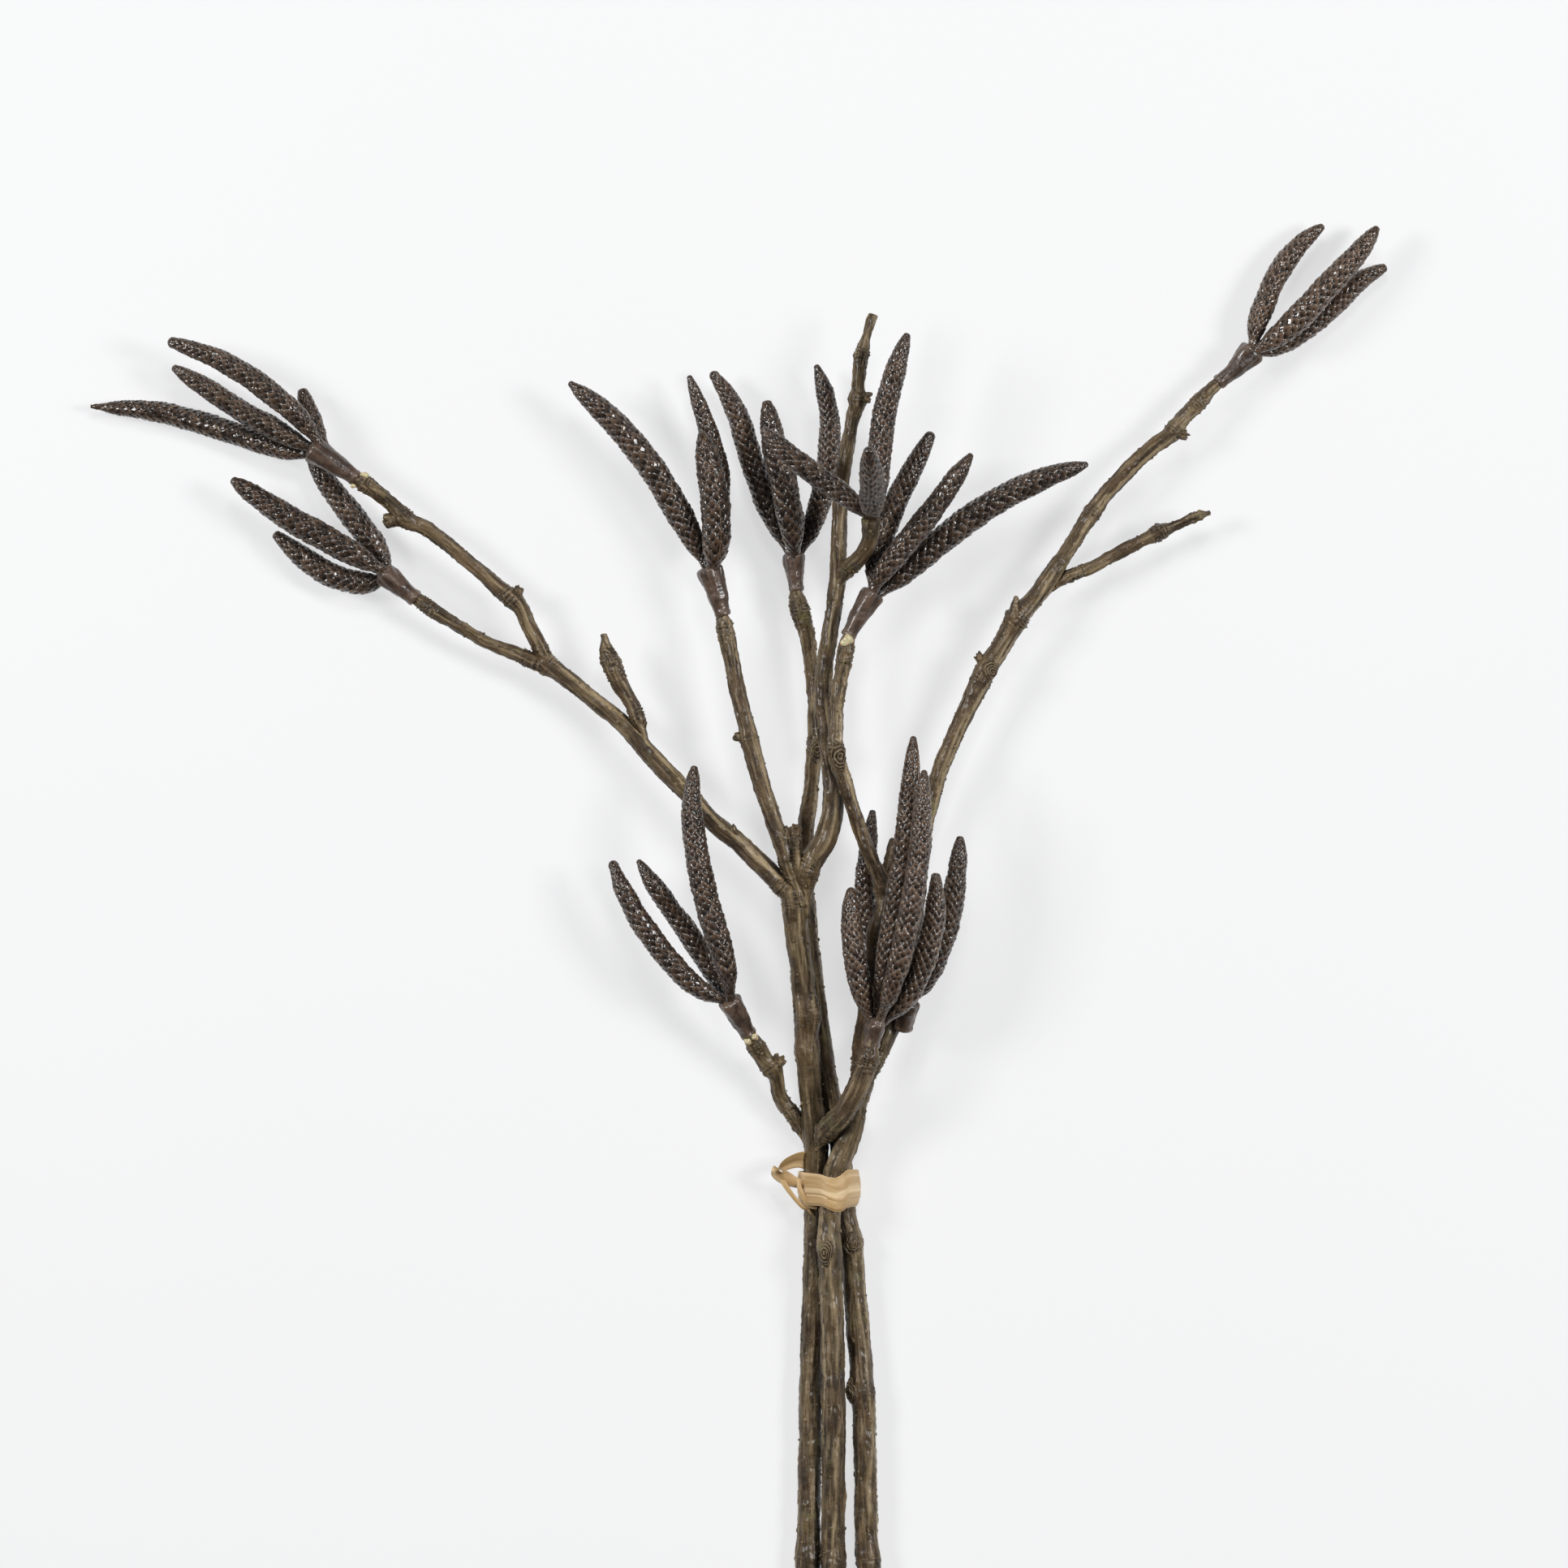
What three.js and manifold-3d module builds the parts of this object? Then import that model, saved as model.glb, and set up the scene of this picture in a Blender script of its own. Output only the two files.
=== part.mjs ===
// A bundle of three catkin branches, tied with one strip of raffia and lying on a surface.
// Millimetres. +Y runs from the cut ends to the tips, +X is to the right and +Z is up.
// Every branch, sleeve and catkin is a round rod along a smooth route.
// A route is a list of [x, y, z, radius], from the foot of the piece to its tip.
// The routes are measured from the middle of the tie, at the height of the surface.
import * as THREE from "three";
import { mergeVertices } from "three/addons/utils/BufferGeometryUtils.js";
import Module from "manifold-3d";

const GAP = 0.3; // clearance left where one piece is cut to fit round another
const BRANCH_SIDES = 6;
const CATKIN_SIDES = 6;
const BRANCH_STEP = 26; // longest stretch of a branch between two rings
const CATKIN_STEP = 18; // longest stretch of a catkin between two rings
const MERGE_TOLERANCE = 1e-4;

const PEG_RADIUS = 2.1; // the thin end of a branch that is pushed into a sleeve
const STALK_RADIUS = 1.9; // a catkin's foot, in the mouth of its sleeve

const RAFFIA_WIDTH = 11.5; // height of the wound band along the stems
const RAFFIA_THICKNESS = 0.7;
const RAFFIA_CLEARANCE = 0.6;
const RAFFIA_STEPS = 24; // directions in which the band's outline is worked out
const LOOP_WIDTH = 4.2;
const LOOP_THICKNESS = 0.7;

const BARK = { color: 0x5f523f, roughness: 0.6, metalness: 0 };
const CATKIN = { color: 0x43342c, roughness: 0.4, metalness: 0 };
const SLEEVE = { color: 0x4d3d33, roughness: 0.5, metalness: 0 };
const RAFFIA = { color: 0xd2b183, roughness: 0.7, metalness: 0 };

// Where the three stems pass through the tie: [x, z, radius]
const TIE_STEMS = [
  [-5.4, 4.6, 4.2],
  [4.3, 4.6, 4.2],
  [0.9, 12.6, 4.4],
];

// Branches, each after the one that it grows from. "stubs" are short side shoots of the same growth.
const BRANCHES = {
  left_stem: {
    route: [
      [-11, -244, 4.6, 4.4],
      [-9, -180, 4.5, 4.3],
      [-8, -138, 4.4, 4.3],
      [-8, -132, 4.5, 4.9],
      [-7.8, -126, 4.4, 4.3],
      [-7, -70, 4.4, 4.2],
      [-5.6, -20, 4.5, 4.1],
      [-5.3, 0, 4.6, 4.1],
      [-5, 18, 6.5, 4.8],
      [-7, 33, 9, 4.3],
      [-8, 46, 11, 4.3],
      [-8.5, 50, 11.5, 5.0],
      [-8.5, 54, 12, 4.4],
      [-10, 76, 15.5, 4.4],
      [-12, 91, 18, 4.4],
      [-13, 106, 20, 5.2],
    ],
    stubs: [
      [[-7, 55, 12, 2.6], [-6, 62, 17.5, 2.8], [-6.5, 69, 18.5, 1.6]],
    ],
  },
  right_stem: {
    route: [
      [3, -238, 6, 4.6],
      [2, -180, 7, 4.4],
      [1, -138, 8, 4.4],
      [1, -132, 8.2, 5.0],
      [1, -126, 8.4, 4.4],
      [1, -70, 10.5, 4.4],
      [0, -28, 12, 4.4],
      [-0.5, -21, 12.4, 4.9],
      [-0.5, -14, 12.5, 4.3],
      [0.4, 0, 12.6, 4.3],
      [3.8, 12, 13, 4.4],
      [7.2, 20, 13.4, 4.6],
      [9.2, 32, 14, 4.5],
      [11.2, 39, 14.5, 4.5],
    ],
  },
  back_stem: {
    route: [
      [22, -246, 4.5, 4.3],
      [17, -180, 4.5, 4.3],
      [14, -138, 4.5, 4.3],
      [13.5, -132, 4.6, 4.9],
      [13, -126, 4.5, 4.3],
      [12, -80, 4.5, 4.3],
      [11.2, -72, 4.7, 5.0],
      [10.8, -64, 4.5, 4.3],
      [8, -26, 4.5, 4.2],
      [7.3, -19, 4.7, 4.9],
      [5.6, -12, 4.6, 4.1],
      [3.8, 0, 4.6, 4.0],
      [3.6, 18, 4.6, 3.9],
      [1, 29, 4.8, 3.8],
      [-2.2, 44, 5.2, 3.8],
      [-4.2, 62, 6, 3.6],
      [-7, 83, 6.5, 3.6],
      [-9, 105, 7.5, 3.4],
      [-8.5, 131, 9, 3.0],
      [-7, 142, 10, 2.8],
      [-6, 153, 11, 2.9],
      [-5, 159, 11.4, 3.4],
      [-5.5, 166, 11.6, 2.6],
      [-6, 175, 12, 2.4],
      [-7, 186, 12, 2.5],
      [-8, 197, 12, 2.9],
      [-11, 206, 12, 3.7],
      [-12, 211, 12, 3.1],
      [-12, 213, 12, PEG_RADIUS],
      [-12.5, 217, 12, PEG_RADIUS],
    ],
  },
  far_left_branch: {
    route: [
      [-12, 103, 20, 4.2],
      [-21, 112, 19.5, 3.8],
      [-32, 123, 18, 3.4],
      [-41, 130, 17, 3.4],
      [-52, 142, 16, 3.4],
      [-65, 155.5, 15, 3.5],
      [-73, 165, 14, 3.2],
      [-86, 175.5, 13, 3.0],
      [-97, 184.5, 12.5, 3.3],
      [-102, 188, 12.5, 3.9],
    ],
    stubs: [
      [[-33, 124, 18, 2.2], [-35, 128.5, 19.5, 1.7]],
    ],
  },
  bud_twig: {
    route: [
      [-66, 156, 15, 3.0],
      [-68.5, 162, 15, 3.4],
      [-69.5, 171, 16, 2.9],
      [-73, 176, 16.5, 2.7],
      [-76, 182, 17, 3.4],
      [-78.5, 188, 17, 3.8],
      [-80, 193, 17, 2.6],
      [-80.7, 197.5, 17, 0.8],
    ],
  },
  outer_left_twig: {
    route: [
      [-100, 186, 12.5, 3.0],
      [-105, 196, 13, 2.9],
      [-112, 208, 13, 2.9],
      [-116, 212, 13.2, 3.4],
      [-122, 217.5, 13.5, 2.7],
      [-133, 227, 14, 2.6],
      [-145, 236, 15, 2.9],
      [-155, 243.5, 16, 2.6],
      [-163, 249, 16.6, 2.9],
      [-166, 251.5, 16.8, 3.6],
      [-168, 252.5, 17, 2.8],
      [-169, 253.5, 17, PEG_RADIUS],
      [-174, 257, 17, PEG_RADIUS],
    ],
    stubs: [
      [[-147, 237, 15, 2.4], [-152, 238.5, 16, 2.4], [-158, 238, 16.5, 3.0]],
      [[-113, 208, 13, 2.2], [-111, 213.5, 15, 2.2]],
    ],
  },
  inner_left_twig: {
    route: [
      [-101, 187, 12.5, 3.2],
      [-106, 188.5, 12.5, 3.4],
      [-111, 190.5, 12.5, 2.8],
      [-121, 194, 12.5, 2.4],
      [-134, 201.5, 13, 2.3],
      [-140, 205, 13, 2.5],
      [-143, 207, 13, 3.3],
      [-146, 209, 13, 2.6],
      [-147.5, 210, 13, PEG_RADIUS],
      [-152, 213.5, 13, PEG_RADIUS],
    ],
  },
  mid_left_branch: {
    route: [
      [-12.5, 103, 21, 4.0],
      [-15.5, 119, 21.5, 3.5],
      [-20, 130, 21.5, 3.1],
      [-24.5, 144, 21, 3.2],
      [-28.5, 160, 21, 3.2],
      [-32.5, 175, 20.5, 3.0],
      [-35.5, 189, 20, 2.9],
      [-37.8, 201, 20, 3.3],
      [-38, 202.5, 20, 2.9],
      [-38.2, 204, 20, PEG_RADIUS],
      [-39.5, 209, 20, PEG_RADIUS],
    ],
    stubs: [
      [[-29, 160, 21, 1.9], [-33.5, 161, 22.5, 1.9]],
      [[-15, 118, 22, 1.9], [-15.5, 128.5, 24.5, 1.5]],
    ],
  },
  centre_branch: {
    route: [
      [-11.5, 103, 21, 4.4],
      [-7, 115, 23, 4.2],
      [-1.5, 125, 24, 4.3],
      [0.5, 133, 25, 4.1],
      [1, 144, 25, 3.6],
      [-0.5, 155, 24.5, 3.5],
      [-2.5, 170, 24, 3.3],
      [-2.5, 183, 24, 3.2],
      [-0.5, 197, 24, 3.0],
      [1.5, 209, 24, 3.0],
      [2.5, 220, 24, 3.0],
      [3, 235, 24, 2.8],
      [4, 250, 24, 2.7],
      [6, 265, 24, 2.6],
      [8.5, 277, 24, 2.6],
      [9, 281, 24, 3.3],
      [9.5, 285, 24, 2.4],
      [10.5, 294, 24, 2.5],
      [11, 297, 24, 3.1],
      [12, 301, 24, 2.0],
      [15, 311, 24, 1.6],
    ],
    stubs: [
      [[9, 281, 24, 2.0], [13.5, 281.5, 26, 2.2]],
      [[-11.5, 108, 22.5, 2.6], [-12, 118, 25.5, 1.9], [-12.2, 129, 26.5, 2.0]],
    ],
  },
  centre_side_twig: {
    route: [
      [2.5, 217, 24, 2.6],
      [6.5, 221, 31, 3.0],
      [11, 225, 37, 3.0],
      [14, 231, 42, 2.8],
      [14, 238, 46, 3.6],
    ],
  },
  front_shoot: {
    route: [
      [-5, 17.5, 8, 3.6],
      [-1, 21, 14.5, 4.5],
      [4, 26, 20.5, 4.1],
      [9, 35, 26, 3.9],
      [12.5, 44, 29, 3.9],
      [14, 49.5, 30, 4.0],
      [14.3, 51, 30, PEG_RADIUS],
      [15, 55.5, 30.5, PEG_RADIUS],
    ],
  },
  low_left_shoot: {
    route: [
      [-5, 17, 6, 3.0],
      [-11, 23, 5.6, 3.2],
      [-17.5, 32, 8, 2.8],
      [-22, 42, 12, 2.8],
      [-25, 48.5, 15, 3.2],
      [-27, 51.5, 16.5, 3.7],
      [-28, 53.5, 17.3, 2.9],
      [-28.8, 54.7, 18, PEG_RADIUS],
      [-31.2, 59, 20, PEG_RADIUS],
    ],
    stubs: [
      [[-21, 42, 12, 2.2], [-18.2, 46.3, 15, 2.7]],
    ],
  },
  front_branch: {
    route: [
      [10.4, 36, 15, 3.9],
      [11, 50, 17.5, 3.6],
      [12.6, 61, 20.5, 3.5],
      [15.6, 83, 25, 3.5],
      [17, 97, 26, 3.9],
      [19, 103, 26, 3.4],
      [17.5, 110, 27, 2.7],
      [11, 126, 29.5, 2.6],
      [6, 141, 32, 2.6],
      [2.5, 153, 33.5, 2.8],
      [1.5, 157, 33.7, 3.4],
      [1.5, 161, 33.7, 2.8],
      [2, 172, 33.5, 2.6],
      [4, 185, 33.5, 2.7],
      [5, 190, 33.5, 3.2],
      [5.5, 194, 33.5, 3.0],
      [6, 196, 33.5, PEG_RADIUS],
      [8.5, 202, 33.2, PEG_RADIUS],
    ],
    stubs: [
      [[18, 101, 26, 3.2], [20, 111, 24, 3.3], [22.5, 123.5, 23, 2.3]],
    ],
  },
  right_branch: {
    route: [
      [11, 37, 13.5, 4.1],
      [15.2, 46, 12, 4.1],
      [22.2, 60, 10.5, 4.0],
      [27, 75, 9, 3.7],
      [30, 97, 9, 3.3],
      [34, 131, 12, 2.9],
      [38.5, 148, 14, 3.1],
      [45.5, 165, 15, 3.2],
      [51.5, 177, 15.5, 3.5],
      [53.5, 181, 15.5, 4.3],
      [56, 186, 15.5, 3.5],
      [60.5, 193, 15.5, 3.6],
      [64.5, 200, 15.5, 3.8],
      [72.5, 210, 15.5, 3.4],
      [79, 219, 15.5, 3.6],
      [83, 225, 15.2, 2.9],
      [90, 236, 15, 2.8],
      [93, 241, 14.8, 3.5],
      [96, 245, 14.5, 2.8],
      [101, 251, 14.5, 2.9],
      [109, 259.3, 14, 2.9],
      [118.5, 268, 13.5, 3.0],
      [127, 276, 13, 2.7],
      [131, 280, 13, 3.3],
      [134, 283.5, 13, 2.5],
      [135, 285, 13, PEG_RADIUS],
      [143.5, 291.5, 12.5, PEG_RADIUS],
    ],
    stubs: [
      [[64, 199, 16, 2.6], [65.2, 204, 19.5, 2.8], [66, 211, 20.5, 0.9]],
      [[120.5, 269.5, 13.5, 2.0], [126.3, 268.6, 14.5, 2.2]],
      [[56, 185, 15.5, 2.2], [52.5, 190, 17, 1.7]],
    ],
  },
  right_twig: {
    route: [
      [77, 215, 15.3, 2.2],
      [83, 218, 15, 2.8],
      [93, 221.5, 13.5, 2.3],
      [103, 227, 12.5, 2.4],
      [113, 232, 12, 2.4],
      [117.5, 234.2, 12, 3.3],
      [121, 235.6, 12, 2.0],
      [126, 237.5, 12, 1.8],
      [131, 240, 12, 2.1],
      [135, 241, 12, 0.8],
    ],
  },
};

// The moulded sleeves: each is pushed over a peg and holds the feet of its catkins.
const SLEEVES = {
  sleeve_a: [[-168.8, 253.4, 17, 3.9], [-176, 258, 17, 4.1], [-184, 263.5, 16.5, 4.8]],
  sleeve_b: [[-147.8, 210.2, 13, 3.7], [-153, 214.5, 13, 3.8], [-159, 219, 13, 4.4]],
  sleeve_c: [[-38.3, 204.3, 20, 4.2], [-40.5, 213, 20.2, 4.1], [-43, 220.5, 20.5, 4.8]],
  sleeve_d: [[-12.2, 213.3, 12, 3.2], [-12.7, 219, 12, 3.3], [-13, 225.5, 12, 4.0]],
  sleeve_f: [[6.3, 196.6, 33.4, 3.7], [10.5, 205, 33, 3.8], [14.8, 211.5, 32.5, 4.5]],
  sleeve_g: [[138, 287.3, 12.8, 3.6], [145, 292.8, 12.2, 3.7], [150, 298.5, 11.8, 4.3]],
  sleeve_h: [[-29, 55, 18.2, 3.8], [-32.5, 61, 21, 3.9], [-35.8, 67.3, 24, 4.5]],
  sleeve_i: [[14.3, 51.3, 30.1, 3.8], [15.3, 56, 30.5, 3.8], [16.2, 60, 31, 4.1]],
  sleeve_j: [[25.5, 58, 14, 3.7], [27, 62.5, 17, 3.7], [27.6, 66.5, 19.5, 4.1]],
};

// The catkins, cluster by cluster: thickness is the widest radius, route is [x, y, z] from foot to tip.
const CATKINS = {
  catkin_a1: { thickness: 4.4, route: [
    [-181, 264.5, 18], [-190, 276, 20], [-201.5, 285.5, 20.5], [-212.5, 293, 20], [-224, 298, 19],
    [-236, 302, 18],
  ] },
  catkin_a3: { thickness: 4.5, route: [
    [-183, 261.5, 15], [-194, 263, 10.5], [-209, 268.5, 6.5], [-223.5, 273, 5], [-242, 277.5, 4.8],
    [-262, 279, 5],
  ] },
  catkin_a2: { thickness: 4.3, route: [
    [-183, 263, 16.5], [-195, 269, 15], [-207, 275.5, 14.5], [-221, 284.5, 14.5], [-234.5, 293, 14],
  ] },
  catkin_a4: { thickness: 3.6, route: [
    [-181, 264.5, 14.5], [-184.5, 274, 11], [-187, 280, 10], [-188.5, 285.5, 9.5],
  ] },
  catkin_b1: { thickness: 5.1, route: [
    [-158, 219.5, 14.5], [-166, 224, 16], [-177, 230.5, 16], [-189.5, 237, 15.5], [-202, 245, 15],
    [-213.5, 253, 14],
  ] },
  catkin_b2: { thickness: 4.7, route: [
    [-158, 218, 11.5], [-166, 215.8, 8.5], [-176, 217.8, 7.5], [-188, 225, 7.5], [-198.5, 234, 8],
  ] },
  catkin_b3: { thickness: 4.8, route: [
    [-157, 219.5, 11], [-161.5, 228, 7], [-169, 238, 5.5], [-177.5, 249, 5.3], [-186, 260, 6],
  ] },
  catkin_c1: { thickness: 5.3, route: [
    [-42.5, 219.5, 20], [-47.5, 229, 18.5], [-56.5, 245, 19], [-67, 262, 20], [-80.5, 276.5, 20],
    [-93.2, 287.3, 19],
  ] },
  catkin_c2: { thickness: 4.0, route: [
    [-42.5, 220, 18.5], [-40, 236, 13.5], [-38.5, 250, 13], [-43.5, 270, 14], [-47, 280, 14],
    [-50.5, 290, 14],
  ] },
  catkin_c3: { thickness: 5.7, route: [
    [-42.3, 219.5, 22], [-40.5, 231, 25.5], [-40.8, 243, 27], [-43, 257, 27], [-46, 269.5, 26],
  ] },
  catkin_d1: { thickness: 4.7, route: [
    [-13.6, 225.5, 12], [-17.6, 233.5, 10], [-25.2, 250, 9], [-30, 266, 9], [-34.6, 280, 9.5],
    [-42.6, 291.5, 10],
  ] },
  catkin_d2: { thickness: 5.3, route: [
    [-12.8, 225, 13.5], [-13.5, 233, 17.5], [-16, 249, 19], [-20, 264, 19], [-22.8, 281, 18],
  ] },
  catkin_d3: { thickness: 4.4, route: [
    [-12.2, 225, 11], [-8.5, 232, 10], [-5.5, 239, 9.5], [-1.8, 252, 9.5], [0, 267, 9.5],
    [-1, 281, 9.5], [-5.2, 294, 9.5],
  ] },
  catkin_e1: { thickness: 4.4, route: [
    [13.6, 238.5, 46], [8, 243.5, 46], [2, 248.5, 44], [-6, 254, 43], [-16, 262, 43], [-24.5, 270, 43],
  ] },
  catkin_e2: { thickness: 4.9, route: [
    [14.2, 238.5, 46], [14.5, 243, 54], [14.5, 248.5, 66], [13.8, 255, 77], [13, 262, 86],
  ] },
  catkin_e3: { thickness: 4.7, route: [
    [15, 237.5, 44.5], [16.5, 249, 41], [17, 264, 40], [20, 280, 40], [24, 294.7, 40], [27.2, 304, 40],
  ] },
  catkin_f1: { thickness: 4.6, route: [
    [15, 211.5, 31], [16, 224, 27.5], [20, 237, 26], [25.5, 249.5, 26], [31, 260, 26], [36.2, 269.5, 26],
  ] },
  catkin_f2: { thickness: 4.6, route: [
    [14.2, 211.5, 34], [20, 221.5, 36], [30, 233.5, 37], [40.5, 247.5, 36.5], [50, 261.5, 35],
  ] },
  catkin_f3: { thickness: 5.3, route: [
    [15.5, 211, 31], [24, 217, 27.5], [37.5, 229.5, 26.5], [52, 240.5, 27], [72, 251.5, 27.5],
    [91.5, 258, 27],
  ] },
  catkin_g1: { thickness: 4.4, route: [
    [150, 298.5, 12.5], [152, 308, 11.5], [156, 320, 10], [162.6, 331, 8.5], [169.2, 338.6, 8],
    [176, 343.6, 8],
  ] },
  catkin_g2: { thickness: 5.0, route: [
    [150.2, 298.5, 13], [158.6, 303, 15], [170.1, 314, 15.5], [180.6, 325.5, 15], [189.6, 335.5, 14],
    [195, 343, 13],
  ] },
  catkin_g3: { thickness: 4.5, route: [
    [150.2, 298, 10], [159, 300.5, 6.5], [171, 307.8, 5.3], [181, 316.5, 5], [190.2, 325, 4.8],
    [198.6, 329, 5],
  ] },
  catkin_h1: { thickness: 4.4, route: [
    [-36, 67, 24], [-43, 69.5, 24.5], [-52.5, 76, 24], [-59.5, 84, 23.5], [-67, 94.5, 23], [-73, 105, 22],
    [-78, 117.3, 21],
  ] },
  catkin_h2: { thickness: 4.2, route: [
    [-36, 67.5, 23], [-39.8, 74, 18.5], [-48, 87.5, 17.5], [-55.5, 98, 17.5], [-62.5, 108, 18],
    [-68.7, 117.5, 18],
  ] },
  catkin_h3: { thickness: 4.9, route: [
    [-35.7, 67.5, 25.5], [-36.5, 77, 30.5], [-41.5, 95, 31.5], [-46, 111, 31], [-48.5, 126, 30],
    [-49.5, 140, 29], [-48.3, 151, 28],
  ] },
  catkin_i1: { thickness: 4.5, route: [
    [14.4, 60, 31], [11.2, 70, 32.5], [8.5, 82, 34], [7, 96, 33.5], [7.2, 108, 33],
  ] },
  catkin_i2: { thickness: 4.7, route: [
    [16.6, 60, 30], [18.6, 72, 33], [20.5, 86, 34.5], [23.5, 104, 35], [27, 128, 34.5], [29.3, 161.5, 33],
  ] },
  catkin_i3: { thickness: 4.5, route: [
    [17, 60, 32.5], [21.5, 72, 40], [25.5, 86, 43.5], [29, 104, 44.5], [32, 128, 44.5], [33, 149.5, 44],
  ] },
  catkin_i4: { thickness: 4.7, route: [
    [17.4, 59.8, 31.2], [24.5, 66, 33], [31, 75.5, 34], [35, 88, 34], [37.2, 101, 33.5], [37, 113, 33],
  ] },
  catkin_j1: { thickness: 4.6, route: [
    [27.8, 66, 19], [34, 75, 21.5], [39.5, 87, 22], [43, 100, 22], [45.2, 113, 21.5], [46, 126, 21],
  ] },
  catkin_j2: { thickness: 4.2, route: [
    [27, 66, 18.3], [20.5, 77, 15.5], [14, 91, 14.5], [12, 105, 14.5], [13.5, 122, 15], [15, 135.3, 15.5],
  ] },
};

// A catkin's radius along its length, as a share of its thickness: stalk, shoulder, body, tip.
const CATKIN_OUTLINE = [
  [0, 0.42], [0.07, 0.46], [0.13, 0.78], [0.26, 0.98], [0.5, 1], [0.7, 0.93], [0.85, 0.78],
  [0.95, 0.5], [1, 0.2],
];

// The raffia's loop and tail: [x, y, z] along the middle of the strip, and the way that its width points.
const RAFFIA_LOOP = {
  route: [
    [-8, 5, 10.5], [-13, 10, 11], [-18, 8.5, 11.5], [-19.5, 6, 12.5], [-16, 3, 13], [-9.5, 1, 11.5],
  ],
  width: [
    [0.2, 1, 0.2], [0.4, 1, 0.3], [0.5, 0.8, 0.5], [0.6, 0.6, 0.5], [0.3, 0.9, 0.4], [0, 1, 0.2],
  ],
};
const RAFFIA_TAIL = {
  route: [[-17.5, 5.5, 12.4], [-14.5, 1, 12.8], [-11, -4.5, 12], [-7.5, -9, 10.5]],
  width: [[0.8, 0.6, 0], [0.8, 0.5, 0.1], [0.8, 0.5, 0.1], [0.8, 0.5, 0.1]],
};
const TAIL_WIDTH = 1.6;

const wasm = await Module();
wasm.setup();

const solidOf = (geometry) => {
  geometry.deleteAttribute("normal");
  geometry.deleteAttribute("uv");
  const merged = mergeVertices(geometry, MERGE_TOLERANCE);
  return new wasm.Manifold(
    new wasm.Mesh({
      numProp: 3,
      vertProperties: merged.attributes.position.array,
      triVerts: new Uint32Array(merged.index.array),
    }),
  );
};

const geometryOf = (solid) => {
  const { vertProperties, triVerts } = solid.getMesh();
  const geometry = new THREE.BufferGeometry();
  geometry.setAttribute("position", new THREE.BufferAttribute(vertProperties, 3));
  geometry.setIndex(new THREE.BufferAttribute(triVerts, 1));
  geometry.computeVertexNormals();
  return geometry;
};

// Curve parameters of a rod's rings: one at each station, and more where two stations are far apart.
function ringParameters(points, step) {
  const rings = [0];
  for (let i = 1; i < points.length; i += 1) {
    const parts = Math.ceil(points[i - 1].distanceTo(points[i]) / step);
    for (let part = 1; part <= parts; part += 1) {
      rings.push((i - 1 + part / parts) / (points.length - 1));
    }
  }
  return rings;
}

// Moves a geometry that stands on Y from 0 to 1 onto a route, one ring of its vertices at a time.
// place(ring, x, z) gives the offset from the route; ends move outwards by the clearance "grow".
function alongRoute(geometry, points, rings, place, grow) {
  const curve = new THREE.CatmullRomCurve3(points, false, "centripetal");
  const tangents = rings.map((t) => curve.getTangent(t));
  const centres = rings.map((t, k) => {
    const end = k === 0 ? -grow : k === rings.length - 1 ? grow : 0;
    return curve.getPoint(t).addScaledVector(tangents[k], end);
  });
  const position = geometry.attributes.position;
  for (let i = 0; i < position.count; i += 1) {
    const ring = Math.round(position.getY(i) * (rings.length - 1));
    const offset = place(ring, position.getX(i), position.getZ(i), tangents);
    position.setXYZ(i, ...offset.add(centres[ring]).toArray());
  }
  return geometry;
}

// Normals carried along the route with no twist, one for each ring.
function carriedNormals(tangents) {
  const side = new THREE.Vector3(1, 0, 0);
  if (Math.abs(tangents[0].x) > 0.9) side.set(0, 0, 1);
  return tangents.map((tangent) => {
    side.addScaledVector(tangent, -side.dot(tangent)).normalize();
    return side.clone();
  });
}

// A round rod: stations are [x, y, z, radius], "grow" makes it fatter and longer all round.
function rod(stations, sides, step, grow) {
  const points = stations.map(([x, y, z]) => new THREE.Vector3(x, y, z));
  const rings = ringParameters(points, step);
  const last = stations.length - 1;
  const radii = rings.map((t) => {
    const place = t * last;
    const i = Math.min(Math.floor(place + 1e-9), last - 1);
    return THREE.MathUtils.lerp(stations[i][3], stations[i + 1][3], place - i) + grow;
  });
  const cylinder = new THREE.CylinderGeometry(1, 1, 1, sides, rings.length - 1);
  cylinder.translate(0, 0.5, 0);
  let normals;
  const place = (ring, x, z, tangents) => {
    normals ??= carriedNormals(tangents);
    const across = new THREE.Vector3().crossVectors(normals[ring], tangents[ring]);
    return normals[ring].clone().multiplyScalar(x * radii[ring])
      .addScaledVector(across, z * radii[ring]);
  };
  return solidOf(alongRoute(cylinder, points, rings, place, grow));
}

// A flat strip of one width and thickness along a route, with the way of its width given at each point.
function strip({ route, width }, wide, thick) {
  const points = route.map((point) => new THREE.Vector3(...point));
  const rings = points.map((_, i) => i / (points.length - 1));
  const box = new THREE.BoxGeometry(1, 1, 1, 1, rings.length - 1, 1);
  box.translate(0, 0.5, 0);
  const place = (ring, x, z, tangents) => {
    const across = new THREE.Vector3(...width[ring]);
    across.addScaledVector(tangents[ring], -across.dot(tangents[ring])).normalize();
    const up = new THREE.Vector3().crossVectors(across, tangents[ring]);
    return across.multiplyScalar(x * wide).addScaledVector(up, z * thick);
  };
  return solidOf(alongRoute(box, points, rings, place, 0));
}

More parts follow.
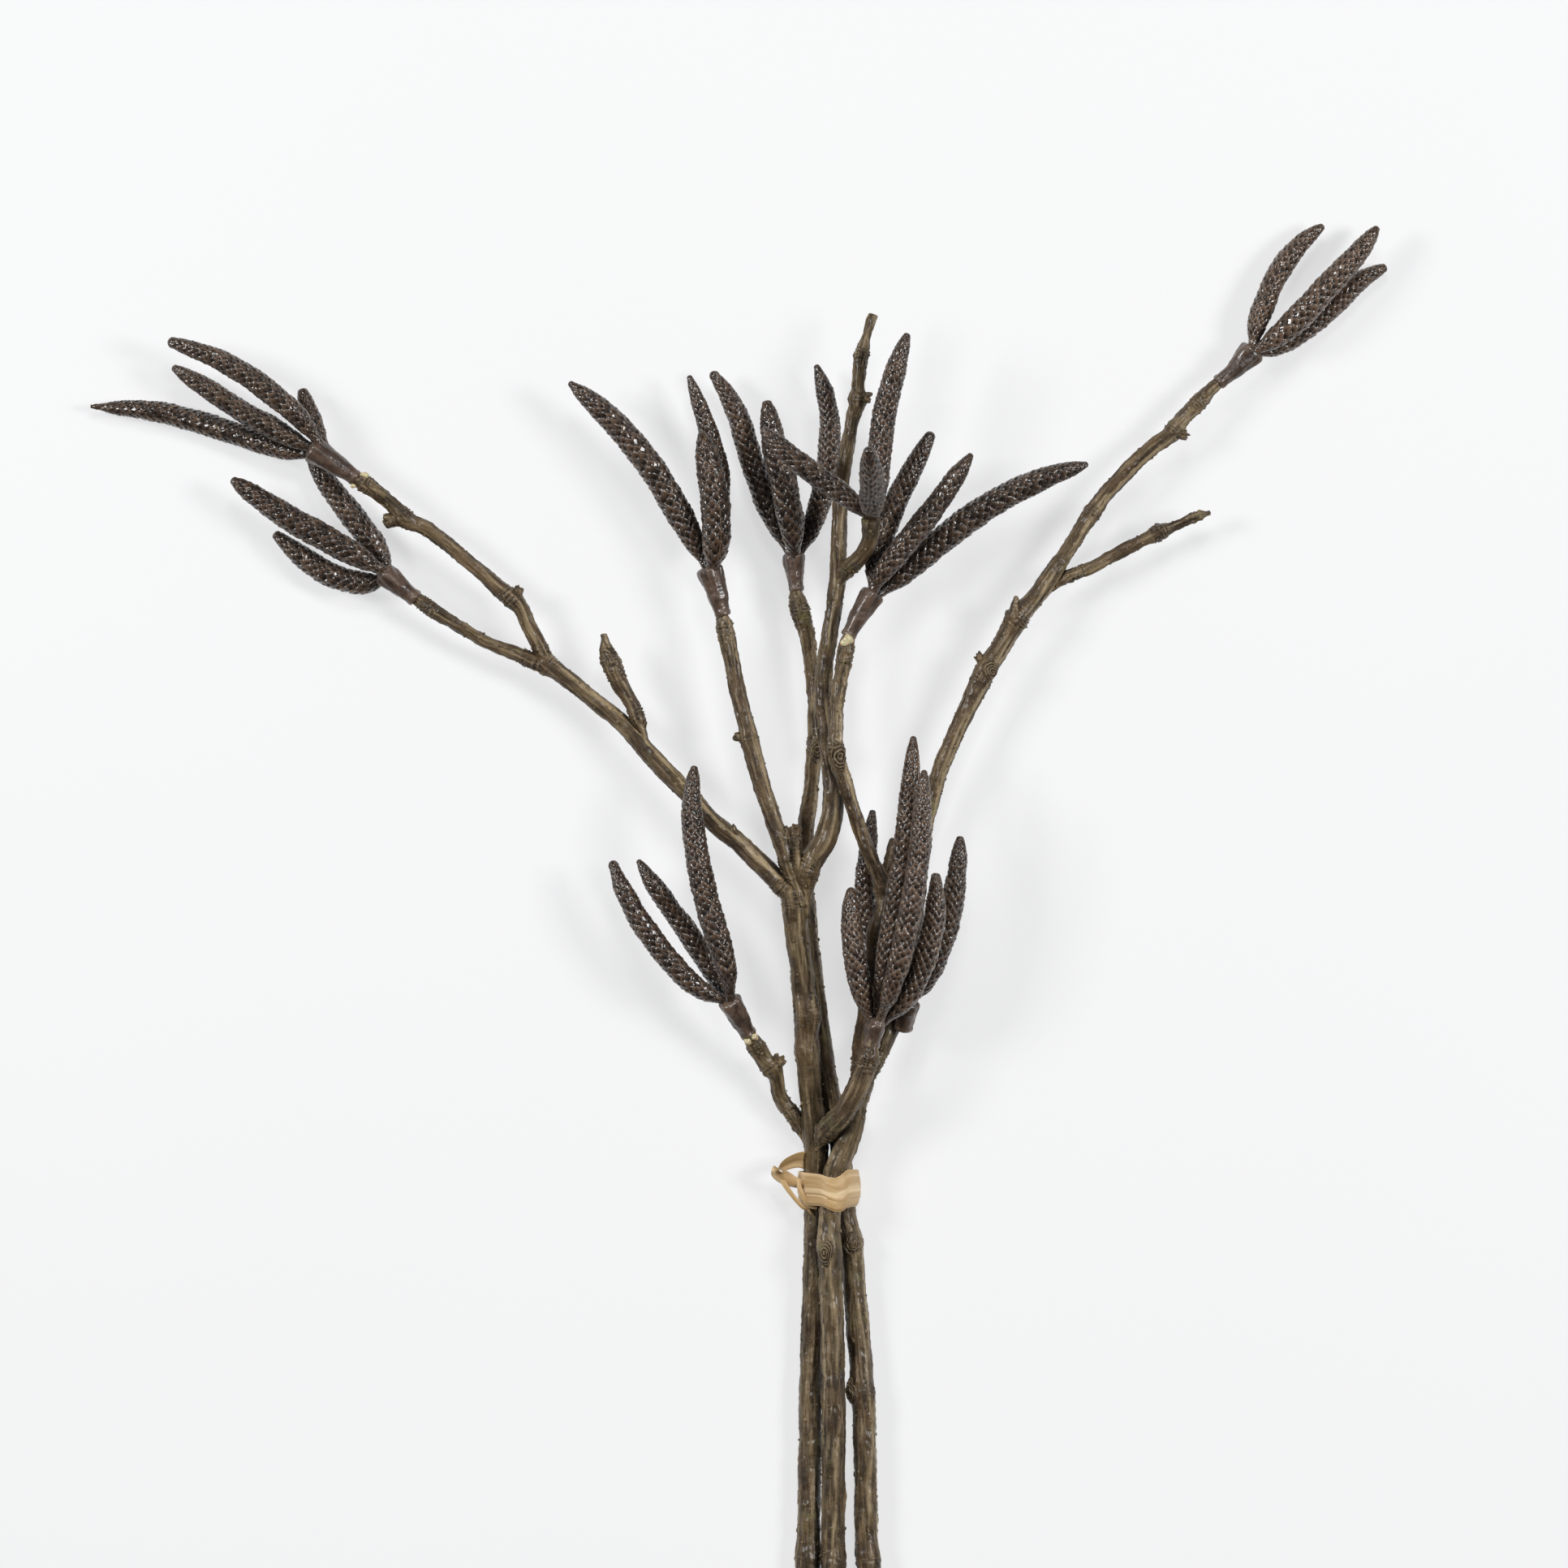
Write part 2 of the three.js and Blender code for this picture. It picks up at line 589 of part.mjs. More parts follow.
// The outline that a strip takes round the stems: in each direction, the furthest point of any stem.
function outlineRoundStems(clearance) {
  const points = [];
  for (let i = 0; i < RAFFIA_STEPS; i += 1) {
    const angle = (2 * Math.PI * i) / RAFFIA_STEPS;
    const toX = Math.cos(angle);
    const toZ = Math.sin(angle);
    const reach = ([x, z, radius]) => x * toX + z * toZ + radius;
    const [x, z, radius] = TIE_STEMS.reduce((a, b) => (reach(b) > reach(a) ? b : a));
    const out = radius + clearance;
    points.push(new THREE.Vector2(x + toX * out, z + toZ * out));
  }
  return points;
}

function raffiaBand() {
  const shape = new THREE.Shape(outlineRoundStems(RAFFIA_CLEARANCE + RAFFIA_THICKNESS));
  shape.holes.push(new THREE.Path(outlineRoundStems(RAFFIA_CLEARANCE)));
  const band = new THREE.ExtrudeGeometry(shape, { depth: RAFFIA_WIDTH, bevelEnabled: false });
  band.rotateX(Math.PI / 2);
  band.translate(0, RAFFIA_WIDTH / 2, 0);
  return solidOf(band);
}

function catkinStations({ thickness, route }) {
  const curve = new THREE.CatmullRomCurve3(route.map((p) => new THREE.Vector3(...p)), false, "centripetal");
  return CATKIN_OUTLINE.map(([share, wide]) => {
    const radius = Math.max(share === 0 ? STALK_RADIUS : 0, wide * thickness);
    return [...curve.getPointAt(share).toArray(), radius];
  });
}

// Each piece makes its own solid, and with a clearance the one that cuts its neighbours.
const pieces = [];
for (const [name, { route, stubs = [] }] of Object.entries(BRANCHES)) {
  const make = (grow) => stubs.reduce(
    (solid, stub) => solid.add(rod(stub, BRANCH_SIDES, BRANCH_STEP, grow)),
    rod(route, BRANCH_SIDES, BRANCH_STEP, grow),
  );
  pieces.push({ name, make, finish: BARK });
}
for (const [name, route] of Object.entries(SLEEVES)) {
  pieces.push({ name, make: (grow) => rod(route, BRANCH_SIDES, BRANCH_STEP, grow), finish: SLEEVE });
}
for (const [name, catkin] of Object.entries(CATKINS)) {
  const stations = catkinStations(catkin);
  pieces.push({ name, make: (grow) => rod(stations, CATKIN_SIDES, CATKIN_STEP, grow), finish: CATKIN });
}
pieces.push({
  name: "raffia_tie",
  make: () => raffiaBand()
    .add(strip(RAFFIA_LOOP, LOOP_WIDTH, LOOP_THICKNESS))
    .add(strip(RAFFIA_TAIL, TAIL_WIDTH, LOOP_THICKNESS)),
  finish: RAFFIA,
});

const boxesMeet = (a, b) => [0, 1, 2].every((i) => a.min[i] < b.max[i] && b.min[i] < a.max[i]);
const largestOf = (solid) => solid.decompose().reduce((a, b) => (b.volume() > a.volume() ? b : a));

const bundle = new THREE.Group();
const cutters = [];
for (const { name, make, finish } of pieces) {
  let solid = make(0);
  for (const cutter of cutters) {
    if (boxesMeet(solid.boundingBox(), cutter.boundingBox())) solid = solid.subtract(cutter);
  }
  const mesh = new THREE.Mesh(geometryOf(largestOf(solid)), new THREE.MeshStandardMaterial(finish));
  mesh.name = name;
  bundle.add(mesh);
  cutters.push(make(GAP));
}

// The origin is under the middle of the bundle, on the surface that it lies on.
const bounds = new THREE.Box3().setFromObject(bundle);
const middle = bounds.getCenter(new THREE.Vector3());
for (const mesh of bundle.children) mesh.geometry.translate(-middle.x, -middle.y, -bounds.min.z);

export default bundle;
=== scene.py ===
# %% [markdown]
# # A tied bundle of catkin branches
# Three forked branches carry brown catkins in clusters, and one strip of raffia ties them together.
# The bundle lies on a pale surface and the camera looks straight down on it.
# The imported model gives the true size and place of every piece. This script gives each piece its skin.

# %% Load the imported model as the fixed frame
import math
import bpy
import numpy as np
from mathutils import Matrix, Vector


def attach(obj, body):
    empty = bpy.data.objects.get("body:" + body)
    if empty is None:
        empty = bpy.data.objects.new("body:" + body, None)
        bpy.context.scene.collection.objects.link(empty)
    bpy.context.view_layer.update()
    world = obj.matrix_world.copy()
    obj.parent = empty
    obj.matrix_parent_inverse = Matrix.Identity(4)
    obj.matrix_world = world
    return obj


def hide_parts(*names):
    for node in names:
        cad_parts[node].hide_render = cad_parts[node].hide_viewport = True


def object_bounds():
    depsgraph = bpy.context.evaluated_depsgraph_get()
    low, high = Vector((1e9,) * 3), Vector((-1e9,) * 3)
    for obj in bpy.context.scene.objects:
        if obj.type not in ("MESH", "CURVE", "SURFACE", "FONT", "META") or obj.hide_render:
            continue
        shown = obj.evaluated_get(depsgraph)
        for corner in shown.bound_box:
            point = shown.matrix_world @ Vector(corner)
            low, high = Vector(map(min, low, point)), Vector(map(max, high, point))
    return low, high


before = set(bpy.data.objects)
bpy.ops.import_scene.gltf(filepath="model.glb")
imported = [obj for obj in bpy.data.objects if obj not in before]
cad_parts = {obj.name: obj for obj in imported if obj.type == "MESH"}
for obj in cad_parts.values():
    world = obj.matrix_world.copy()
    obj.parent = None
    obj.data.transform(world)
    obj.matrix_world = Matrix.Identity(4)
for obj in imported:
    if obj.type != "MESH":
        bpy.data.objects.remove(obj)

CAD_BOX = [[float(c) for c in corner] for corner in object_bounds()]
NODES = sorted(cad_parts)
CATKINS = [name for name in NODES if name.startswith("catkin_")]
SLEEVES = [name for name in NODES if name.startswith("sleeve_")]
BRANCHES = [name for name in NODES if name not in CATKINS + SLEEVES and name != "raffia_tie"]
print(len(BRANCHES), "branches,", len(SLEEVES), "sleeves,", len(CATKINS), "catkins")
print("CAD box in metres:", CAD_BOX)

# %% [markdown]
# ## The view and the light
# The bundle is seen straight from above through a long lens, so that heights hardly change its outline.
# The view's middle lies a little to the right of the bundle's middle and nearer to its tips:
# the lower ends of the stems run out of the view.

# %% Camera
def add_object(name, data):
    """A new object in the scene that shows the data."""
    made = bpy.data.objects.new(name, data)
    bpy.context.scene.collection.objects.link(made)
    return made


VIEW_WIDTH = 0.5583      # what the view takes in, in metres, at the height of the stems
VIEW_HEIGHT = 4.0        # the camera is this far above the surface
STEM_HEIGHT = 0.015
SENSOR = 36.0            # millimetres
AIM = (0.0325, 0.1615)     # the view's middle, as a share of the bundle's width and length from its middle

low, high = np.array(CAD_BOX[0]), np.array(CAD_BOX[1])
middle = (low + high) / 2
aim = middle[:2] + np.array(AIM) * (high - low)[:2]
camera_data = bpy.data.cameras.new("camera")
camera_data.sensor_width = SENSOR
camera_data.lens = SENSOR * (VIEW_HEIGHT - STEM_HEIGHT) / VIEW_WIDTH
camera_data.clip_end = 3 * VIEW_HEIGHT
camera = add_object("camera", camera_data)
camera.location = (aim[0], aim[1], VIEW_HEIGHT)
bpy.context.scene.camera = camera
print("camera over", aim, "lens", round(camera_data.lens, 1), "mm")

# %% Soft studio light: a bright room, a large lamp on each side and one above the tips
FLOOR_SIZE = 6.0
FLOOR_GLOW = 0.63        # how much light the surface gives off by itself
FLOOR_GREYS = (0.27, 0.27, 0.272), (0.29, 0.29, 0.292)
LAMPS = {                # name: place, size in metres, watts
    "lamp_left": ((-1.3, 0.5, 1.3), 0.50, 20.0),
    "lamp_right": ((1.3, 0.3, 1.4), 0.50, 19.5),
    "lamp_top": ((0.10, 1.3, 1.9), 0.5, 13.0),
}
ROOM_LIGHT = 0.06


def add_lamp(name, place, size, watts):
    """A square lamp that faces the middle of the bundle."""
    data = bpy.data.lights.new(name, "AREA")
    data.size = size
    data.energy = watts
    lamp = add_object(name, data)
    lamp.location = place
    towards = np.array([middle[0], middle[1] + 0.1, 0.0]) - np.array(place)
    flat = math.hypot(towards[0], towards[1])
    lamp.rotation_euler = (math.atan2(flat, -towards[2]), 0, math.atan2(-towards[0], towards[1]))


for name, (place, size, watts) in LAMPS.items():
    add_lamp(name, place, size, watts)
world = bpy.data.worlds.new("room")
world.use_nodes = True
world.node_tree.nodes["Background"].inputs["Color"].default_value = (1.0, 0.985, 0.96, 1)
world.node_tree.nodes["Background"].inputs["Strength"].default_value = ROOM_LIGHT
bpy.context.scene.world = world
bpy.context.scene.view_settings.view_transform = "Standard"
print(len(LAMPS), "lamps and a bright room")

# %% [markdown]
# ## Finding the pieces in the frame
# Each branch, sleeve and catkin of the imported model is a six-sided rod. A skin needs its middle line and
# its radius. Both are measured: a plane is moved along the rod, and the polygon that it cuts out gives the
# middle (its centroid) and the radius (from its area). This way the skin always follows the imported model.

# %% Cut a rod with a plane
HEXAGON = 1.5 * math.sqrt(3)     # area of a six-sided polygon whose corners are 1 from its middle
UP = np.array([0.0, 0.0, 1.0])


def unit(v):
    """Each vector divided by its length."""
    return v / np.linalg.norm(v, axis=-1, keepdims=True)


def full_turn(count):
    """Evenly spaced angles once round, in radians."""
    return np.linspace(0, 2 * math.pi, count, endpoint=False)


def points_and_edges(node):
    """A node's vertices, and both ends of each of its edges, in millimetres."""
    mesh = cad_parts[node].data
    points = np.empty(len(mesh.vertices) * 3)
    mesh.vertices.foreach_get("co", points)
    points = points.reshape(-1, 3) * 1000
    pairs = np.empty(len(mesh.edges) * 2, dtype=np.int64)
    mesh.edges.foreach_get("vertices", pairs)
    return points, points[pairs.reshape(-1, 2)]


def cross_section(edges, point, way, reach):
    """Middle and radius of the polygon that the plane through point, square to way, cuts out of the rod.
    Each cut edge gives a corner; the shoelace rule gives area and centroid of the sorted corners."""
    height = (edges - point) @ way
    cut = height[:, 0] * height[:, 1] < 0
    a, b = edges[cut, 0], edges[cut, 1]
    share = height[cut, 0] / (height[cut, 0] - height[cut, 1])
    hit = a + (b - a) * share[:, None] - point
    hit = hit[np.linalg.norm(hit, axis=1) < reach]
    if len(hit) < 5:
        return None
    u = unit(np.cross(way, UP if abs(way[2]) < 0.9 else np.array([1.0, 0, 0])))
    v = np.cross(way, u)
    x, y = hit @ u, hit @ v
    order = np.argsort(np.arctan2(y, x))
    x, y = x[order], y[order]
    cross = x * np.roll(y, -1) - np.roll(x, -1) * y
    area = cross.sum() / 2
    if area < 0.3:
        return None
    cx = ((x + np.roll(x, -1)) * cross).sum() / (6 * area)
    cy = ((y + np.roll(y, -1)) * cross).sum() / (6 * area)
    return point + cx * u + cy * v, math.sqrt(area / HEXAGON)


# %% Follow a rod from its middle to both of its ends
TRACE_STEP = 1.0         # millimetres between two cuts
START_REACH = 16.0       # millimetres from the uppermost vertex: the part that gives the first direction
LIKE_BEFORE = (0.62, 1.5)    # a section whose radius is outside these shares of the last one ends the rod
MOST_SHIFT = 0.3         # millimetres that one cut can move the middle line sideways
MOST_CUTS = 900


def march(points, edges, start, way, radius):
    """Cuts every millimetre from start along way, until the plane meets no whole section.
    The last entry is the true end: the furthest vertex of the rod along the way."""
    found = []
    centre = start
    while len(found) < MOST_CUTS:
        ahead = centre + way * TRACE_STEP
        cut = cross_section(edges, ahead, way, 1.6 * radius + 0.8)
        if cut is None or not LIKE_BEFORE[0] < cut[1] / radius < LIKE_BEFORE[1]:
            break
        shift = cut[0] - ahead
        shift *= min(1.0, MOST_SHIFT / max(np.linalg.norm(shift), 1e-9))
        step = ahead + shift - centre
        centre = centre + step
        radius = min(max(cut[1], radius * 0.8), radius * 1.25)
        way = unit(0.75 * way + 0.25 * unit(step))
        found.append((centre, radius))
    near = np.linalg.norm(points - centre, axis=1) < 2 * radius + 3
    rest = ((points[near] - centre) @ way).max() if near.any() else 0.0
    found.append((centre + way * max(rest, 0.05), radius))
    return found


def soften(values, width):
    """A running mean with bell-shaped weights, with the ends held."""
    reach = np.arange(-3 * width, 3 * width + 1)
    bell = np.exp(-0.5 * (reach / width) ** 2)
    bell /= bell.sum()
    padded = np.concatenate([np.repeat(values[:1], len(reach) // 2, 0), values,
                             np.repeat(values[-1:], len(reach) // 2, 0)])
    if values.ndim == 1:
        return np.convolve(padded, bell, "valid")
    return np.stack([np.convolve(column, bell, "valid") for column in padded.T], -1)


def trace(node):
    """The rod's middle line and radii, from its lower end (foot) to its upper end (tip)."""
    points, edges = points_and_edges(node)
    tip = points[points[:, 1].argmax()]
    close = points[np.linalg.norm(points - tip, axis=1) < START_REACH]
    centre = close.mean(0)
    way = np.linalg.svd(close - centre)[2][0]
    way *= np.sign(way @ (tip - centre))
    radius = 4.0
    for _ in range(4):
        here = cross_section(edges, centre, way, 9.0)
        there = cross_section(edges, (here[0] if here else centre) - 2.5 * way, way, 9.0)
        if here and there:
            centre, radius = here
            way = unit(here[0] - there[0])
    up = march(points, edges, centre, way, radius)
    down = march(points, edges, centre, -way, radius)
    line = down[::-1] + [(centre, radius)] + up
    middle_line = np.array([entry[0] for entry in line])
    radii = np.array([entry[1] for entry in line])
    ends = middle_line[[0, -1]]
    middle_line[1:-1] = soften(middle_line, 2)[1:-1]
    middle_line[[0, -1]] = ends
    return middle_line, soften(radii, 1)


traced = {name: trace(name) for name in BRANCHES + SLEEVES + CATKINS}
for name, (line, radii) in traced.items():
    length = np.linalg.norm(np.diff(line, axis=0), axis=1).sum()
    print(f"{name}: {length:.0f} mm long, radius {radii.min():.1f} to {radii.max():.1f} mm")

# %% Find the tie, from which the routes of short stubs and of the raffia's ends are measured
TIE_OFF_CENTRE = 0.55    # millimetres from the wound band's middle to the tie's middle, to the right
BAND_EDGE = 5.6          # the band's corners are further than this from its middle, along the stems
BAND_REACH = 22          # and no further than this from its right side: the loop starts there

band_points, _ = points_and_edges("raffia_tie")
band_right = band_points[:, 0].max()
right_side = band_points[band_points[:, 0] > band_right - 3]
tie_y = (right_side[:, 1].min() + right_side[:, 1].max()) / 2
at_edge = np.abs(band_points[:, 1] - tie_y) > BAND_EDGE
wound = band_points[at_edge & (band_points[:, 0] > band_right - BAND_REACH)]
tie = np.array([(wound[:, 0].min() + band_right) / 2 + TIE_OFF_CENTRE, tie_y, 0.0])
print("tie at", (tie / 1000).round(4))

# %% [markdown]
# ## Painted shade where the pieces crowd together
# Between stems that touch, and between catkins in one sleeve, the colour is darkened: this is painted shade.
# How
# crowded a place is can be counted: the room round the bundle is cut into small cells, a cell inside a rod
# counts 1, and the counts are then blurred over their neighbours.

# %% Count rods in cells, and blur
CELL = 1.5               # millimetres
CROWD_SHADE = 0.9         # how dark a fully crowded place gets
CROWD_FROM, CROWD_TO = 0.24, 0.58    # counts at which a place starts to darken, and is fully dark
CROWD_LOOK = 2.0         # millimetres outside the skin where the count is looked up
CELL_MARGIN = 15         # millimetres of empty cells round the bundle
BLUR = 1.8               # cells

cells_low = np.min([line.min(0) for line, _ in traced.values()], axis=0) - CELL_MARGIN
cells_high = np.max([line.max(0) for line, _ in traced.values()], axis=0) + CELL_MARGIN
cells = np.zeros(((cells_high - cells_low) / CELL).astype(int) + 2, dtype=np.float32)
offsets = np.stack(np.meshgrid(*[np.arange(-5, 6)] * 3, indexing="ij"), -1).reshape(-1, 3)
for line, radii in traced.values():
    inside = np.linalg.norm(offsets, axis=1)[None] * CELL < radii[:, None]
    hit = (np.round((line - cells_low) / CELL).astype(int)[:, None] + offsets)[inside]
    cells[tuple(hit.T)] = 1.0
bell = np.exp(-0.5 * (np.arange(-4, 5) / BLUR) ** 2)
for axis in range(3):
    cells = sum(share * np.roll(cells, int(shift), axis)
                for shift, share in zip(range(-4, 5), bell / bell.sum()))
print("cells:", cells.shape, "most crowded:", round(float(cells.max()), 2))


def crowding(points):
    """The blurred count at each point, weighted evenly between the eight nearest cells."""
    place = (points - cells_low) / CELL
    corner = np.floor(place).astype(int)
    share = place - corner
    total = np.zeros(points.shape[:-1])
    for step in np.ndindex(2, 2, 2):
        weight = np.where(np.array(step) == 1, share, 1 - share).prod(-1)
        total += weight * cells[tuple(np.moveaxis(corner + np.array(step), -1, 0))]
    return total


# %% [markdown]
# ## From a middle line to a skin
# A skin is a function of two numbers: how far along the rod, and the angle round it. Both run over a grid,
# and the whole grid is computed at once. Angle 90 degrees always points up, so a detail can be put on top.
# The last ring at each end closes on one point, a pole.

# %% Even stations along a line, with a frame at each
SUNK_RADIUS = 0.55       # a foot that is sunk into another piece tapers to this share of its radius


def spread(line, radii, step, sink=0.0):
    """Places the line's stations evenly, step apart. The foot is carried on backwards by sink, so that a
    branch grows out of the one that carries it."""
    if sink:
        line = np.vstack([line[0] + unit(line[0] - line[3]) * sink, line])
        radii = np.append(SUNK_RADIUS * radii[0], radii)
    along = np.append(0, np.cumsum(np.linalg.norm(np.diff(line, axis=0), axis=1)))
    even = np.linspace(0, along[-1], max(int(along[-1] / step), 6) + 1)
    centre = np.stack([np.interp(even, along, line[:, i]) for i in range(3)], -1)
    centre[1:-1] = soften(centre, 2)[1:-1]
    way = unit(np.gradient(centre, axis=0))
    side = unit(np.cross(way, UP))
    return {"along": even, "centre": centre, "radius": np.interp(even, along, radii), "way": way,
            "side": side, "up": np.cross(side, way), "length": along[-1]}


def round_skin(rod, radius, turns):
    """Point (i, j) = centre_i + radius_ij * (cos(angle_j) side_i + sin(angle_j) up_i)."""
    angle = full_turn(turns)
    out = (np.cos(angle)[None, :, None] * rod["side"][:, None]
           + np.sin(angle)[None, :, None] * rod["up"][:, None])
    return rod["centre"][:, None] + radius[..., None] * out


def on_cylinder(rod, angle):
    """Where the grid's points lie on the rod once it is made straight: the place for a random field."""
    along, radius = rod["along"][:, None], rod["radius"][:, None]
    return np.stack([np.cos(angle) * radius, np.sin(angle) * radius, along + 0 * angle], -1)


def round_distance(angle, path, radius):
    """Millimetres round the rod from each angle to the path's angle, the short way."""
    return np.abs((angle - path + math.pi) % (2 * math.pi) - math.pi) * radius


def with_crowd_shade(rod, skin, crease):
    """The painted crease shade, raised by more painted shade where the place just outside the skin is
    crowded.
    """
    out = unit(skin - rod["centre"][:, None])
    crowded = crowding(skin + CROWD_LOOK * out)
    return np.maximum(crease, CROWD_SHADE * step_up(crowded, CROWD_FROM, CROWD_TO))


def wrapped(skin, values):
    """The skin as points, faces and point values: quads between rings, and a fan to a pole at each end."""
    rings, turns = skin.shape[:2]
    index = np.arange(rings * turns).reshape(rings, turns)
    after = np.roll(index, -1, axis=1)
    quads = np.stack([index[:-1], index[1:], after[1:], after[:-1]], -1).reshape(-1, 4)
    foot, tip = rings * turns, rings * turns + 1
    fans = np.concatenate([np.stack([index[0], after[0], np.full(turns, foot)], -1),
                           np.stack([after[-1], index[-1], np.full(turns, tip)], -1)])
    points = np.vstack([skin.reshape(-1, 3), skin[0].mean(0), skin[-1].mean(0)])
    given = {key: np.concatenate([np.ravel(v), [np.mean(v[0]), np.mean(v[-1])]])
             for key, v in values.items()}
    return points, [quads, fans], given


# %% Put arrays into a mesh
PIECES = []


def make_piece(name, parts, material, node=None):
    """One object from several parts (points in mm, faces, point values). It rides on the body, takes the
    given finish and stands for the CAD node."""
    values = sorted({key for part in parts for key in part[2]})
    counts = np.cumsum([0] + [len(part[0]) for part in parts])
    points = np.vstack([part[0] for part in parts]) / 1000
    faces = [f + start for part, start in zip(parts, counts) for f in part[1]]
    sizes = np.concatenate([np.full(len(f), f.shape[1]) for f in faces])
    mesh = bpy.data.meshes.new(name)
    mesh.vertices.add(len(points))
    mesh.vertices.foreach_set("co", points.ravel())
    mesh.loops.add(int(sizes.sum()))
    mesh.loops.foreach_set("vertex_index", np.concatenate([f.ravel() for f in faces]))
    mesh.polygons.add(len(sizes))
    mesh.polygons.foreach_set("loop_start", np.append(0, np.cumsum(sizes)[:-1]))
    mesh.polygons.foreach_set("use_smooth", np.ones(len(sizes), dtype=bool))
    mesh.update(calc_edges=True)
    for key in values:
        data = np.concatenate([np.broadcast_to(part[2].get(key, 0.0), len(part[0])) for part in parts])
        mesh.attributes.new(key, "FLOAT", "POINT").data.foreach_set("value", data.astype(np.float32))
    mesh.validate()
    piece = add_object(name, mesh)
    mesh.materials.append(material)
    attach(piece, "root")
    if node:
        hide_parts(node)
    PIECES.append((name, int((sizes - 2).sum())))


# %% Soft random fields
def waves(points, size, seed, count=16):
    """A soft field between about -1 and 1: a sum of plane waves in random ways, each about size long."""
    rng = np.random.default_rng(seed)
    ways = unit(rng.normal(size=(count, 3))) / (size * rng.uniform(0.7, 1.6, count))[:, None]
    phase = rng.uniform(0, 2 * math.pi, count)
    total = np.zeros(points.shape[:-1])
    for way, start in zip(ways, phase):
        total += np.sin(2 * math.pi * (points @ way) + start)
    return total / math.sqrt(count)


def step_up(x, low_edge, high_edge):
    """0 below the low edge, 1 above the high edge, and an even S between them."""
    t = np.clip((x - low_edge) / (high_edge - low_edge), 0, 1)
    return t * t * (3 - 2 * t)


def seed_of(name):
    """A whole number that is always the same for a name."""
    return sum((i + 1) * ord(letter) for i, letter in enumerate(name))


# %% [markdown]
# ## Shader maths as plain Python
# A finish is easier to read as a formula. A small class wraps a socket and overloads + - *, so that an
# expression on values adds its Math nodes. Colours go through Mix nodes. Every other node comes from one
# method that takes the node's type, its settings and what goes into its sockets.

# %% The shader class
class Value:
    """A node's output that can be used in arithmetic."""

    def __init__(self, tree, socket):
        self.tree, self.socket = tree, socket

    def maths(self, operation, *others):
        return self.tree.node("ShaderNodeMath", {"operation": operation},
                              {i: v for i, v in enumerate((self,) + others)})

    def __add__(self, other):
        return self.maths("ADD", other)

    def __sub__(self, other):
        return self.maths("SUBTRACT", other)

    def __rsub__(self, other):
        return self.tree.node("ShaderNodeMath", {"operation": "SUBTRACT"}, {0: other, 1: self})

    def __mul__(self, other):
        return self.maths("MULTIPLY", other)

    __radd__, __rmul__ = __add__, __mul__


class Shader:
    """A material under construction, with a Principled BSDF at its end."""

    def __init__(self, name):
        self.material = bpy.data.materials.new(name)
        self.material.use_nodes = True
        self.nodes = self.material.node_tree.nodes
        self.links = self.material.node_tree.links
        self.surface = self.nodes["Principled BSDF"]

    def node(self, kind, settings=(), sockets=(), output=0):
        """Adds a node, makes its settings, then sets or links its sockets."""
        made = self.nodes.new(kind)
        for key, value in dict(settings).items():
            if key == "stops":
                for stop in range(len(value) - 2):
                    made.color_ramp.elements.new(0.5)
                for element, (place, colour) in zip(made.color_ramp.elements, value):
                    element.position = place
                    element.color = (*colour, 1)
            else:
                setattr(made, key, value)
        for key, value in dict(sockets).items():
            self.put(made.inputs[key], value)
        return Value(self, made.outputs[output])

    def put(self, socket, value):
        if isinstance(value, Value):
            self.links.new(value.socket, socket)
        elif socket.type == "RGBA" and len(value) == 3:
            socket.default_value = (*value, 1)
        else:
            socket.default_value = value

    def place(self):
        return self.node("ShaderNodeTexCoord", output="Object")

    def stretched(self, scale):
        return self.node("ShaderNodeMapping", {}, {"Vector": self.place(), "Scale": scale})

    def attribute(self, name):
        return self.node("ShaderNodeAttribute", {"attribute_name": name}, output="Fac")

    def noise(self, size, detail=4.0, roughness=0.55, where=None):
        """A noise whose lumps are size metres long, between 0 and 1."""
        return self.node("ShaderNodeTexNoise", {}, {"Vector": where or self.place(), "Scale": 1 / size,
                                                    "Detail": detail, "Roughness": roughness})

    def between(self, value, low_edge, high_edge):
        return self.node("ShaderNodeMapRange", {"interpolation_type": "SMOOTHSTEP"},
                         {"Value": value, "From Min": low_edge, "From Max": high_edge})

    def blend(self, share, a, b):
        """Colour a where share is 0 and colour b where it is 1."""
        return self.node("ShaderNodeMix", {"data_type": "RGBA"}, {0: share, 6: a, 7: b}, output=2)

    def finish(self, colour, roughness, height=None, depth=0.0, **constants):
        """Feeds the surface: colour, roughness and a bump, depth metres high."""
        self.put(self.surface.inputs["Base Color"], colour)
        self.put(self.surface.inputs["Roughness"], roughness)
        if height is not None:
            bump = self.node("ShaderNodeBump", {}, {"Height": height, "Distance": depth, "Strength": 1.0})
            self.put(self.surface.inputs["Normal"], bump)
        for key, value in constants.items():
            self.put(self.surface.inputs[key.replace("_", " ")], value)
        return self.material
